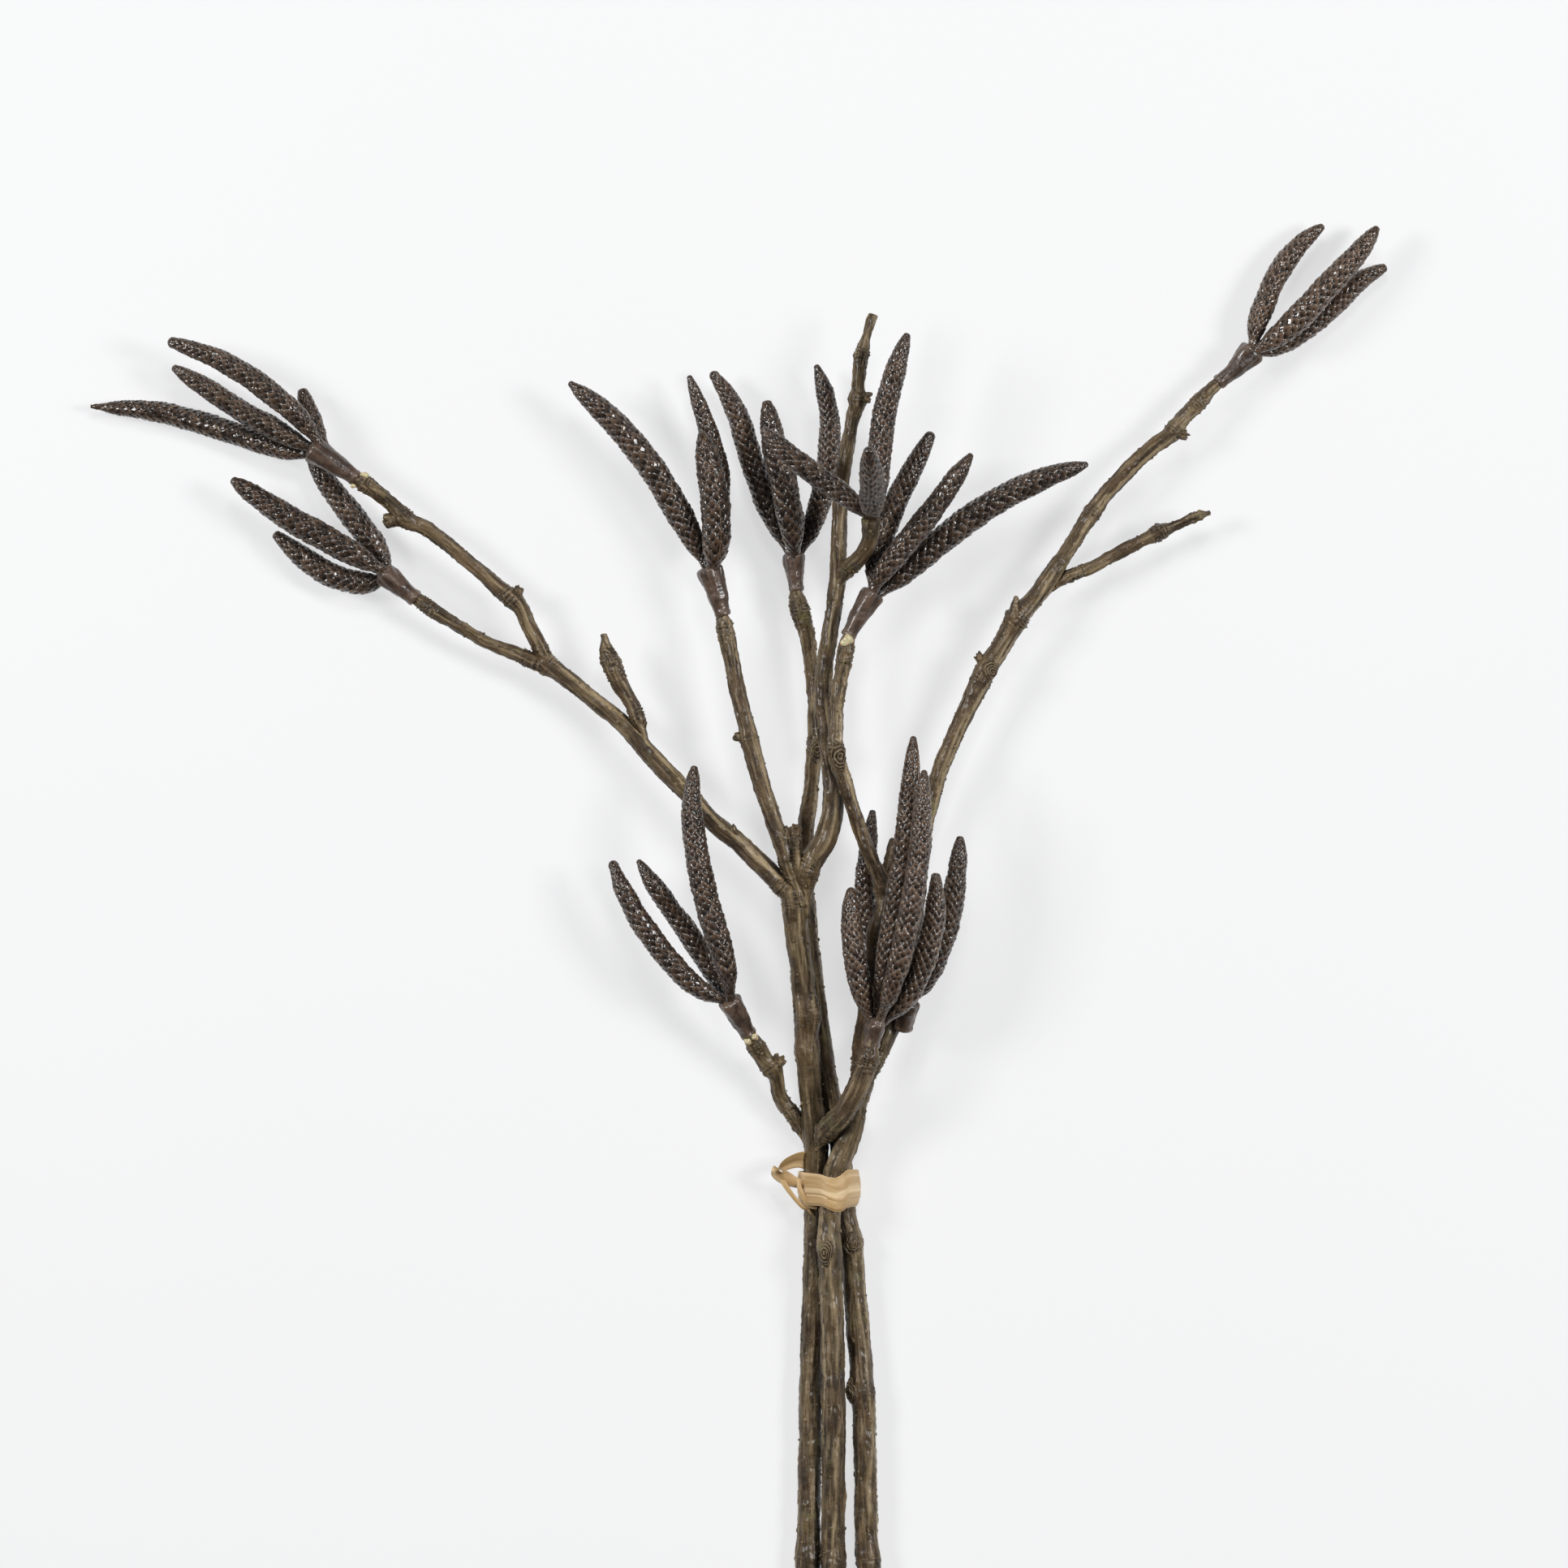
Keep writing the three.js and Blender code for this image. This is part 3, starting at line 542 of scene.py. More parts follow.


# %% [markdown]
# ## The finishes
# The bark is olive brown with darker smudges, as if a brown wash was wiped over it, and lighter where it
# stands proud. The catkins are nearly black-brown with a reddish cast, glossy on the scales, and some scales
# have a tan edge. The sleeves are smooth brown. Raffia is a pale dry leaf with fine fibres along it.
# Every finish darkens hollows and crowded places with painted shade.

# %% Bark
def bark_finish():
    s = Shader("bark")
    broad = s.noise(0.030, 3)
    wash = s.between(s.noise(0.010, 6, 0.62), 0.38, 0.64)
    grain = s.node("ShaderNodeCombineXYZ", {}, {"X": s.attribute("round_x"), "Y": s.attribute("round_y"),
                                                "Z": s.attribute("down") * 0.10})
    streak = s.noise(1.5, 5, 0.62, grain)
    fine = s.noise(0.5, 3, 0.6, grain)
    fleck = s.noise(0.0011, 3, 0.6)
    olive = s.blend(s.between(broad, 0.40, 0.62), (0.112, 0.069, 0.034), (0.142, 0.098, 0.046))
    smudged = s.blend(wash * 0.78, olive, (0.036, 0.021, 0.010))
    lit = s.blend(s.between(streak, 0.50, 0.68) * 0.60, smudged, (0.33, 0.245, 0.145))
    dark = s.blend(s.between(streak + fine * 0.3, 0.64, 0.50) * 0.70, lit, (0.022, 0.015, 0.009))
    proud = s.attribute("proud")
    pale = s.blend(proud * (0.35 + fleck * 0.8), dark, (0.44, 0.335, 0.195))
    # painted shade: hollows and crowded places are darkened nearly to black
    crease_shaded = s.blend(s.attribute("crease") * 0.9, pale, (0.010, 0.007, 0.004))
    flecked = s.blend(s.between(fleck, 0.66, 0.76) * 0.6, crease_shaded, (0.36, 0.29, 0.19))
    moss = s.between(s.noise(0.009, 2), 0.60, 0.70) * s.between(broad, 0.46, 0.6)
    colour = s.blend(moss * 0.45, flecked, (0.22, 0.20, 0.075))
    rough = 0.50 - s.between(s.noise(0.003, 3), 0.4, 0.7) * 0.16
    height = streak * 0.9 + fine * 0.5 + s.noise(0.0008, 4) * 0.4
    return s.finish(colour, rough, height, 0.0008, Coat_Weight=0.3, Coat_Roughness=0.22,
                    Specular_IOR_Level=0.25)


# %% Catkin scales
def catkin_finish():
    s = Shader("catkin")
    broad = s.between(s.noise(0.02, 3), 0.36, 0.64)
    tone = s.attribute("tone")
    brown = s.blend(broad, (0.034, 0.019, 0.012), (0.076, 0.046, 0.030))
    body = s.blend(tone * 0.60, brown, (0.155, 0.098, 0.064))
    gilt = s.attribute("gilt")
    edged = s.blend(gilt * s.between(s.noise(0.0016, 3), 0.42, 0.6), body, (0.33, 0.23, 0.12))
    # painted shade: the hollows between scales and crowded places are darkened nearly to black
    colour = s.blend(s.attribute("crease") * 0.95, edged, (0.005, 0.003, 0.002))
    rough = 0.36 - s.between(s.noise(0.0012, 4), 0.4, 0.7) * 0.16
    ridges = (s.attribute("back") * 21.0 + s.noise(0.002, 2) * 9.0).maths("SINE")
    height = s.noise(0.0007, 4, 0.6) + ridges * 0.05
    return s.finish(colour, rough, height, 0.00030, Coat_Weight=1.0, Coat_Roughness=0.14,
                    Specular_IOR_Level=0.15)


# %% Sleeve, raffia and glue
def sleeve_finish():
    s = Shader("sleeve")
    wash = s.between(s.noise(0.006, 5), 0.38, 0.66)
    brown = s.blend(wash, (0.105, 0.066, 0.046), (0.046, 0.028, 0.020))
    fine = s.noise(0.0012, 4, 0.6, s.stretched((1.0, 0.3, 1.0)))
    pale = s.blend(s.attribute("proud") * 0.5, brown, (0.22, 0.155, 0.105))
    # painted shade: hollows and crowded places are darkened
    colour = s.blend(s.attribute("crease") * 0.8, pale, (0.012, 0.008, 0.006))
    rough = 0.4 - s.between(fine, 0.4, 0.7) * 0.15
    return s.finish(colour, rough, fine, 0.0003, Coat_Weight=0.4, Coat_Roughness=0.15)


def raffia_finish():
    s = Shader("raffia")
    down = s.attribute("down") * 0.05
    leaf = s.node("ShaderNodeCombineXYZ", {}, {"X": s.attribute("across"), "Y": down})
    fibre = s.noise(0.22, 4, 0.6, leaf)
    broad = s.noise(3.5, 3, 0.5, leaf)
    tan = s.blend(s.between(fibre, 0.30, 0.70), (0.44, 0.275, 0.115), (0.56, 0.375, 0.175))
    # pale patches: partly the leaf's own tone, partly painted highlight
    pale_patch_and_highlight = s.blend(s.between(broad, 0.42, 0.64) * 0.75, tan, (0.86, 0.66, 0.40))
    speck = s.between(s.noise(0.0022, 4, 0.6), 0.64, 0.74) * 0.5
    specked = s.blend(speck, pale_patch_and_highlight, (0.36, 0.22, 0.10))
    # painted shade: the troughs of the folds are darkened
    colour = s.blend(s.attribute("crease") * 0.75, specked, (0.14, 0.075, 0.028))
    return s.finish(colour, 0.46, fibre, 0.00009)


def glue_finish():
    s = Shader("glue")
    cloud = s.noise(0.002, 3)
    colour = s.blend(cloud, (0.42, 0.36, 0.20), (0.70, 0.62, 0.40))
    return s.finish(colour, 0.2, cloud, 0.0002, Subsurface_Weight=0.5, Subsurface_Scale=0.002)


BARK, CATKIN, SLEEVE = bark_finish(), catkin_finish(), sleeve_finish()
RAFFIA, GLUE = raffia_finish(), glue_finish()
print("finishes:", ", ".join(m.name for m in (BARK, CATKIN, SLEEVE, RAFFIA, GLUE)))

# %% [markdown]
# ## Bark
# The branches are moulded after real alder shoots. Each one is a rod whose radius is the traced radius plus
# relief: slow lumps, lines along the branch, two low seams where the mould closed, and rings of wrinkles
# wherever the branch swells, which is where a bud or a leaf once sat. The relief is a formula on the grid and
# not a bump alone, so that the outline shows it too. Pimples and knots are domes that follow the same rod.

# %% Ends, and the relief of the bark
BARK_STEP = 0.55         # millimetres between rings
BARK_TURNS = 44
BARK_SHARE = 0.95        # the bark's mean radius, as a share of the traced one
WRINKLE = 1.25           # millimetres from one ring of a scar to the next
WRINKLE_DEPTH = 0.26
SEAM_HEIGHT = 0.30
SEAM_WIDTH = 0.55
STRIPS = {               # a pale flat strip where the mould's halves met: degrees round, half width in mm
    "left_stem": (28, 1.3), "back_stem": (20, 1.1), "right_stem": (150, 0.7), "right_branch": (35, 0.9),
    "mid_left_branch": (30, 0.8), "front_branch": (60, 0.6), "far_left_branch": (55, 0.7),
}
FORKS = ("left_stem", "right_stem", "far_left_branch")     # their tips end in a fork
FREE_STEMS = ("left_stem", "right_stem", "back_stem")      # their feet are cut ends
CAP = np.array([0.30, 0.62, 0.88])                         # rings that round off an end, 0 rim to 1 pole


def with_caps(rod, foot, tip):
    """Adds three rings beyond each end. Ring k moves out by dome * sin(k) and shrinks by cos(k)."""
    grown = dict(rod)
    out, shrink = np.sin(CAP * math.pi / 2), np.cos(CAP * math.pi / 2)
    for key in ("side", "up", "way", "radius", "along"):
        grown[key] = np.concatenate([rod[key][[0] * 3], rod[key], rod[key][[-1] * 3]])
    grown["centre"] = np.vstack([rod["centre"][0] - (foot * out[::-1])[:, None] * rod["way"][0],
                                 rod["centre"],
                                 rod["centre"][-1] + (tip * out)[:, None] * rod["way"][-1]])
    grown["shrink"] = np.concatenate([shrink[::-1], np.ones(len(rod["centre"])), shrink])
    return grown


def bark_relief(rod, angle, seed, scars, strip=None):
    """Millimetres that the bark stands above its rod, how far it is proud (0 to 1), and its painted shade (0
    to 1).
    Height = lumps + lines + bumps + two seams, and on a scar rings = sin(2 pi along / wrinkle + wobble)."""
    rng = np.random.default_rng(seed)
    along, radius = rod["along"][:, None], rod["radius"][:, None]
    out = on_cylinder(rod, angle)
    lumps = 0.15 * waves(out, 10.0, seed) + 0.07 * waves(out, 3.4, seed + 1)
    lines = waves(out * [1, 1, 0.09], 1.3, seed + 2)
    bumps = waves(out * [1, 1, 0.6], 1.3, seed + 3)
    wobble = 1.1 * waves(out * [0.2, 0.2, 1], 4.0, seed + 4) + 1.5 * waves(out, 4.5, seed + 8)
    broken = 0.35 + 0.65 * step_up(waves(out * [1, 1, 0.5], 3.0, seed + 9), -0.7, 0.5)
    rings = np.sin(2 * math.pi * along / WRINKLE + wobble) * broken
    seams = np.zeros_like(out[..., 0])
    for start in (0.9 + rng.uniform(-0.5, 0.5), 4.1 + rng.uniform(-0.5, 0.5)):
        path = start + 0.25 * np.sin(along / 17 + start) + 0.12 * np.sin(along / 5.3)
        seams = np.maximum(seams, np.exp(-(round_distance(angle, path, radius) / SEAM_WIDTH) ** 2))
    seams *= step_up(waves(out * [0.2, 0.2, 1], 24.0, seed + 5), -0.5, 0.3) * (1 - scars)
    height = (lumps + (0.17 * lines + 0.09 * bumps) * (1 - 0.4 * scars) + SEAM_HEIGHT * seams
              + scars * WRINKLE_DEPTH * rings + scars * 0.18 * bumps)
    band = np.zeros_like(seams)
    if strip:
        degrees, width = strip
        drift = 0.22 * waves(out * [0, 0, 1], 60.0, seed + 6)
        path = math.radians(degrees) + 0.10 * np.sin(along / 19) + drift
        away = round_distance(angle, path, radius)
        band = 1 - step_up(away + 0.3 * waves(out, 3.0, seed + 7), 0.75 * width, width)
        band *= step_up(waves(out * [0, 0, 1], 45.0, seed + 10), -0.9, -0.2) * (1 - 0.7 * scars)
        height = height * (1 - 0.7 * band) - 0.16 * band
    proud = np.clip(0.8 * seams + 0.9 * band + scars * 0.35 * step_up(rings, 0.3, 1.0)
                    + 0.55 * step_up(lines, 0.7, 1.8), 0, 1)
    # painted shade: the troughs of the rings and of the lines are darkened
    crease = np.clip(scars * step_up(-rings, 0.2, 1.0) + 0.7 * step_up(-lines, 0.4, 1.8), 0, 1)
    return height, proud, crease


def scars_of(rod, name, stub=False):
    """Where a branch is ringed: where it is thicker than its own running mean, at its foot, at a fork."""
    if stub:
        return STUB_SCAR * step_up(rod["along"], 0.25 * rod["length"], 0.6 * rod["length"])[:, None]
    mean = soften(rod["radius"], 16)
    swollen = step_up(rod["radius"] / mean, 1.035, 1.12)
    foot = 0 if name in FREE_STEMS else 1
    swollen = np.maximum(swollen, foot * (1 - step_up(rod["along"], 3.0, 7.0)) * 0.7)
    if name in FORKS:
        swollen = np.maximum(swollen, step_up(rod["along"], rod["length"] - 9, rod["length"] - 4) * 0.8)
    return soften(swollen, 1)[:, None]


# %% Pimples and eye-shaped knots that sit on a rod
PIMPLE_AREA = 24.0       # square millimetres of bark for each pimple
PIMPLE_SIZE = (0.20, 0.44)
DOME = np.array([[0.0, 1.0], [0.55, 0.86], [0.9, 0.45], [1.12, -0.25]])   # distance and height, as shares


def on_rod(rod, along, angle, lift):
    """The point at a distance along the rod and an angle round it, lift above the rod's radius."""
    at = {key: np.stack([np.interp(along, rod["along"], rod[key][:, i]) for i in range(3)], -1)
          for key in ("centre", "side", "up")}
    radius = BARK_SHARE * np.interp(along, rod["along"], rod["radius"]) + lift
    out = np.cos(angle)[..., None] * at["side"] + np.sin(angle)[..., None] * at["up"]
    return at["centre"] + radius[..., None] * out


def pimples(rod, seed):
    """Little domes, scattered evenly by chance. Each is a pole and three rings of eight points."""
    rng = np.random.default_rng(seed)
    count = int(2 * math.pi * rod["radius"].mean() * rod["length"] / PIMPLE_AREA)
    along = rng.uniform(0.03, 0.97, count) * rod["length"]
    angle = rng.uniform(0, 2 * math.pi, count)
    size = rng.uniform(*PIMPLE_SIZE, count) * np.where(rng.random(count) < 0.15, 1.5, 1.0)
    turn = full_turn(8)
    radius = np.interp(along, rod["along"], rod["radius"])
    ring = DOME[1:, 0][None, :, None] * size[:, None, None] * rng.uniform(0.75, 1.25, (count, 3, 8))
    step_along = ring * np.cos(turn) * rng.uniform(0.9, 1.5, count)[:, None, None]
    step_round = ring * np.sin(turn) / radius[:, None, None]
    lift = (DOME[1:, 1][None, :, None] * size[:, None, None] * 0.8) + 0 * turn
    body = on_rod(rod, along[:, None, None] + step_along, angle[:, None, None] + step_round, lift)
    poles = on_rod(rod, along, angle, 0.8 * size)
    base = on_rod(rod, along, angle, -0.5 * size)
    points = np.concatenate([poles[:, None], body.reshape(count, -1, 3), base[:, None]], 1)
    t = np.arange(8)
    after = (t + 1) % 8
    fan = np.stack([np.zeros(8, int), 1 + after, 1 + t], -1)
    under = np.stack([17 + t, 17 + after, np.full(8, 25)], -1)
    quads = np.concatenate([np.stack([k + t, k + after, k + 8 + after, k + 8 + t], -1) for k in (1, 9)])
    start = (np.arange(count) * 26)[:, None, None]
    faces = [(f[None] + start).reshape(-1, f.shape[1])[:, ::-1] for f in (fan, quads, under)]
    pale = np.repeat(rng.uniform(0.0, 0.6, count), 26)
    return points.reshape(-1, 3), faces, {"proud": pale, "crease": 0 * pale}


KNOT_RINGS = 4.3
KNOT_LENGTH = 1.4        # a knot's length along the branch, as a share of its width


def knot(rod, along, angle, size, seed):
    """A knot: a dome with broken, swirled rings of bark round an off-centre eye. Its height is a bell plus
    ripples of the distance from the eye, which soft fields bend and fade."""
    share = np.linspace(0.02, 1.0, 34)[:, None]
    turn = full_turn(60)[None]
    flat = np.stack([share * np.cos(turn), 0.7 * share * np.sin(turn), 0 * share * turn], -1)
    oval = size * (1 + 0.12 * np.cos(2 * turn + seed) + 0.08 * np.cos(3 * turn + 2 * seed)
                   + 0.04 * np.cos(7 * turn))
    swirl = 0.22 * np.cos(turn + seed) + 0.34 * waves(flat, 0.8, seed)
    ripple = np.cos(2 * math.pi * (share * KNOT_RINGS + swirl))
    broken = 0.25 + 0.75 * step_up(waves(flat, 0.6, seed + 1), -0.8, 0.5)
    edge = 1 - share ** 4
    relief = 0.085 * ripple * broken + 0.05 * waves(flat, 0.3, seed + 2)
    lift = size * (0.40 * (1 - share ** 2.2) + relief * edge)
    radius = np.interp(along, rod["along"], rod["radius"])
    points = on_rod(rod, along + share * oval * np.sin(turn) * KNOT_LENGTH,
                    angle + share * oval * np.cos(turn) / radius, lift - 0.35 * share ** 6)
    proud = 0.75 * step_up(ripple, 0.2, 1.0) * broken * edge
    # painted shade: the troughs between the knot's rings are darkened
    crease = step_up(-ripple, 0.1, 0.9) * (0.5 + 0.5 * broken) * edge
    return wrapped(points, {"proud": proud, "crease": crease, "round_x": flat[..., 0] * 6,
                            "round_y": flat[..., 1] * 6, "down": flat[..., 1] * 20})


# %% [markdown]
# ## Stubs
# Short side shoots stand off the branches. Most look torn off, with a jagged end. A route of three points
# gives the way that each one leans. Its foot is thinner, so that it vanishes inside the branch.

# %% Side stubs: short shoots that end blunt, torn or in a point
STUB_STATIONS = 14
STUB_TURNS = 28
STUB_SHARE = 0.93        # a stub's mean radius, as a share of its route's
STUB_SCAR = 0.4          # how deep its rings are, as a share of a scar's
TORN = 0.8               # millimetres that a torn end's teeth stand out
POINTED = 1.3            # a stub whose last radius is under this ends in a point
STUBS = {                # routes from the tie in millimetres: x, y, z and radius
    "left_stem": (((-7, 55, 12, 2.6), (-6, 62, 17.5, 2.8), (-6.5, 69, 18.5, 1.6)),),
    "far_left_branch": (((-33, 124, 18, 2.2), (-34, 126, 19, 2.0), (-35, 128.5, 19.5, 1.7)),),
    "outer_left_twig": (((-147, 237, 15, 2.4), (-152, 238.5, 16, 2.4), (-158, 238, 16.5, 3.0)),
                        ((-113, 208, 13, 2.2), (-112, 211, 14, 2.2), (-111, 213.5, 15, 2.2))),
    "mid_left_branch": (((-29, 160, 21, 1.9), (-31, 160.5, 22, 1.9), (-33.5, 161, 22.5, 1.9)),
                        ((-15, 118, 22, 1.9), (-15.3, 123, 23.5, 1.7), (-15.5, 128.5, 24.5, 1.5))),
    "centre_branch": (((9, 281, 24, 2.0), (11, 281.3, 25, 2.1), (13.5, 281.5, 26, 2.2)),
                      ((-11.5, 108, 22.5, 2.6), (-12, 118, 25.5, 1.9), (-12.2, 129, 26.5, 2.0))),
    "low_left_shoot": (((-21, 42, 12, 2.2), (-19.5, 44, 13.5, 2.4), (-18.2, 46.3, 15, 2.7)),),
    "front_branch": (((18, 101, 26, 3.2), (20, 111, 24, 3.3), (22.5, 123.5, 23, 2.3)),),
    "right_branch": (((64, 199, 16, 2.6), (65.2, 204, 19.5, 2.8), (66, 211, 20.5, 0.9)),
                     ((120.5, 269.5, 13.5, 2.0), (123.5, 269, 14, 2.1), (126.3, 268.6, 14.5, 2.2)),
                     ((56, 185, 15.5, 2.2), (54, 187.5, 16.5, 1.9), (52.5, 190, 17, 1.7))),
}


def smooth_line(points, count):
    """Catmull-Rom curve through the points: each span is a cubic with the slopes of its neighbours."""
    points = np.array(points, dtype=float)
    padded = np.vstack([2 * points[0] - points[1], points, 2 * points[-1] - points[-2]])
    place = np.linspace(0, len(points) - 1 - 1e-9, count)
    k, t = place.astype(int), (place % 1)[:, None]
    a, b, c, d = padded[k], padded[k + 1], padded[k + 2], padded[k + 3]
    bend, twist = 2 * a - 5 * b + 4 * c - d, 3 * b - a - 3 * c + d
    return 0.5 * (2 * b + (c - a) * t + bend * t ** 2 + twist * t ** 3)


def stub_part(stations, seed):
    """A short ringed shoot, from inside the branch to its end, which is pointed or torn off."""
    route = smooth_line(stations, STUB_STATIONS)
    taper = np.minimum(1, 0.5 + 2.0 * np.linspace(0, 1, STUB_STATIONS))
    rod = spread(tie + route[:, :3], STUB_SHARE * route[:, 3] * taper, 0.4)
    last_radius = stations[-1][3]
    rod = with_caps(rod, 0.2, 0.35 * last_radius)
    points, faces, values = bark_part(rod, seed, scars_of(rod, "", stub=True), STUB_TURNS)
    end, way = rod["centre"][-4], rod["way"][-1]
    teeth = TORN * waves(points, 1.7, seed) * (last_radius >= POINTED)
    torn = teeth * step_up((points - end) @ way, -2.0, 0.0)
    return points + torn[:, None] * way, faces, values


def bark_part(rod, seed, scars, turns, strip=None):
    """A rod's skin with bark relief on it, as points, faces and values."""
    angle = full_turn(turns)[None]
    height, proud, crease = bark_relief(rod, angle, seed, scars, strip)
    shrink = rod["shrink"][:, None]
    radius = BARK_SHARE * rod["radius"][:, None]
    skin = round_skin(rod, (radius + height) * shrink, turns)
    return wrapped(skin, {"proud": proud, "crease": with_crowd_shade(rod, skin, crease),
                          "round_x": radius * np.cos(angle), "round_y": radius * np.sin(angle),
                          "down": rod["along"][:, None] + 0 * angle})


# %% Make the branches
SINK = 5.0               # millimetres: how far a branch's foot is carried into the one that it grows from
KNOT_SIZE = 3.6
KNOTS = {                # millimetres along the branch, and degrees round it (90 faces up)
    "right_stem": ((216, 108),),
    "back_stem": ((174, 150), (227, 84), (405, 80)),
    "front_branch": ((128, 75),),
    "right_branch": ((163, 60),),
}
for name in BRANCHES:
    line, radii = traced[name]
    free = name in FREE_STEMS
    rod = spread(line, radii, BARK_STEP, 0 if free else SINK)
    scars = scars_of(rod, name)
    seed = seed_of(name)
    capped = with_caps(rod, 0.5 if free else 0.1, 3.0 if name in FORKS else 0.4)
    scars = np.concatenate([scars[[0] * 3], scars, scars[[-1] * 3]])
    parts = [bark_part(capped, seed, scars, BARK_TURNS, STRIPS.get(name)), pimples(rod, seed)]
    for along, degrees in KNOTS.get(name, ()):
        parts.append(knot(rod, along, math.radians(degrees), KNOT_SIZE, along))
    stubs = STUBS.get(name, ())
    parts += [stub_part(stub, seed + k) for k, stub in enumerate(stubs)]
    make_piece(name + "_bark", parts, BARK, name)
    print(f"{name}: {len(parts[0][0])} points, {len(stubs)} stubs")

# %% [markdown]
# ## Catkins
# A catkin is a spindle of overlapping scales, in rows that are each shifted by half a scale. Each catkin is
# one skin, since thousands of scales as pieces of their own would be slow. One scale is a tile: a height
# formula that rises from its foot to a rounded lip near its tip end and drops steeply there.
# At every point the highest tile of the rows around it wins, as on a roof. The grid is fine enough for the
# lips to show in the outline.

# %% One tile, and the field of tiles
SCALES_ROUND = 9
SCALE_RELIEF = 1.15      # millimetres from crease to lip on a full-size catkin
CATKIN_TURNS = 90
CATKIN_STEP = 0.36
PALER = {"catkin_g": 1.10, "catkin_i": 0.70}     # clusters whose scales are a paler brown
CATKIN_SHARE = 0.97      # the radius over the scales, as a share of the traced one
LIP = 0.5                # where a tile ends, in rows past its own row
TILE_LENGTH = 2.3        # rows from a tile's lip back to its foot


def hashed(row, column, seed):
    """A number from 0 to 1 that looks random and is the same for the same scale."""
    mixed = np.sin(row * 127.1 + column * 311.7 + seed * 74.7) * 43758.5453
    return mixed - np.floor(mixed)


def tiles(row_place, column_place, seed):
    """Height of the highest tile (0 to 1), its lip (0 to 1), its own random number, and the distance
    back from its lip. A tile's edge is an arch that is one row long and one column wide, so that
    the arches of two rows fit together as diamonds."""
    height = np.zeros(np.broadcast(row_place, column_place).shape)
    lip, own, back = np.zeros_like(height), np.zeros_like(height), np.zeros_like(height)
    for nearby in (0, 1, 2):
        row = np.floor(row_place) + nearby
        shifted = column_place - 0.5 * (row % 2)
        column = np.round(shifted)
        chance = hashed(row, column % SCALES_ROUND, seed)
        across = 2 * (shifted - column)
        t = row_place - row - LIP + np.abs(across) ** 1.5 + 0.34 * (chance - 0.5)
        rise = np.clip(1 + t / TILE_LENGTH, 0, 1) ** 0.9
        fall = 1 - step_up(t, -0.60, 0.02) ** 1.5
        tile = rise * fall * (1 - 0.34 * across ** 2) * (0.80 + 0.30 * chance)
        better = tile > height
        height = np.where(better, tile, height)
        lip = np.where(better, step_up(t, -0.55, -0.25), lip)
        own = np.where(better, chance, own)
        back = np.where(better, t, back)
    return height, lip, own, back


# %% Make the catkins
STALK = 4.0              # smooth length at a catkin's foot
SHARP_TIP, BLUNT_TIP = 1.0, 2.0
BLUNT = ("catkin_a1", "catkin_d1", "catkin_e2", "catkin_f1", "catkin_h1", "catkin_i1")
FLASH = {                # catkins with a thin line of flash, and the degrees round them where it runs
    "catkin_f2": 96, "catkin_c3": 68, "catkin_a2": 75, "catkin_h2": 84, "catkin_i2": 40,
}


def round_tip(rod, tip):
    """Stops the rod a tip's radius early, and lets it be no thinner than that there: a cap follows."""
    keep = rod["along"] <= rod["length"] - tip
    cut = {key: value[keep] for key, value in rod.items() if key != "length"}
    near = 1 - step_up(rod["length"] - cut["along"], 2.0 * tip, 4.5 * tip)
    cut["radius"] = np.maximum(cut["radius"], tip * near)
    return cut | {"length": rod["length"] - tip}


def catkin_part(rod, seed, paler):
    """Radius = spindle - relief + relief * tile height + soft lumps. The stalk is smooth but for lines."""
    angle = full_turn(CATKIN_TURNS)[None]
    radius = rod["radius"]
    pitch = 0.62 + 0.215 * radius
    step = np.append(0, np.linalg.norm(np.diff(rod["centre"], axis=0), axis=1))
    rows = np.cumsum(step / pitch)[:, None]
    out = on_cylinder(rod, angle)
    warp = 0.20 * waves(out, 6.0, seed)
    column = angle / (2 * math.pi) * SCALES_ROUND + 0.45 * np.sin(rod["along"][:, None] / 19)
    height, lip, own, back = tiles(rows + warp, column + warp * 0.5, seed)
    scaled = step_up(rod["along"], STALK * 0.5, STALK * 1.6)[:, None]
    relief = SCALE_RELIEF * np.clip(radius / 4.6, 0.30, 1.1)[:, None] * scaled
    wrinkle = 0.07 * waves(out * [1, 1, 0.25], 1.2, seed + 3) + 0.05 * waves(out, 0.9, seed + 4)
    lumps = 0.16 * waves(out, 12.0, seed + 5)
    base = CATKIN_SHARE * radius[:, None] - 0.80 * relief
    full = base + relief * height + wrinkle * (1.4 - scaled) + lumps * scaled
    skin = round_skin(rod, full * rod["shrink"][:, None], CATKIN_TURNS)
    gilt = lip * (own > 0.80) * step_up(waves(out, 9.0, seed + 6), -0.1, 0.8)
    # painted shade: the hollows between scales are darkened, and so are crowded places
    crease = with_crowd_shade(rod, skin, (1 - step_up(height, 0.28, 0.74)) * scaled)
    tone = np.clip(own * scaled + paler, 0, 1.6)
    return wrapped(skin, {"tone": tone, "gilt": gilt * scaled, "crease": crease, "back": back})


def flash_part(rod, degrees):
    """A thin fin where the mould closed: a three-sided rod that runs along the spindle at one angle."""
    keep = (rod["along"] > STALK * 1.5) & (rod["radius"] > 1.4)
    along = rod["along"][keep][::3]
    angle = math.radians(degrees) + 0.1 * np.sin(along / 23)
    lift = np.array([-0.5, 0.32, -0.5])
    turn = np.array([-0.22, 0.0, 0.22])
    radius = np.interp(along, rod["along"], rod["radius"])
    skin = on_rod(rod, along[:, None] + 0 * turn, angle[:, None] + turn / radius[:, None],
                  lift + 0 * along[:, None])
    ones = np.ones(skin.shape[:2])
    return wrapped(skin, {"tone": ones, "gilt": 0.4 * ones, "crease": 0 * ones, "back": 0 * ones})


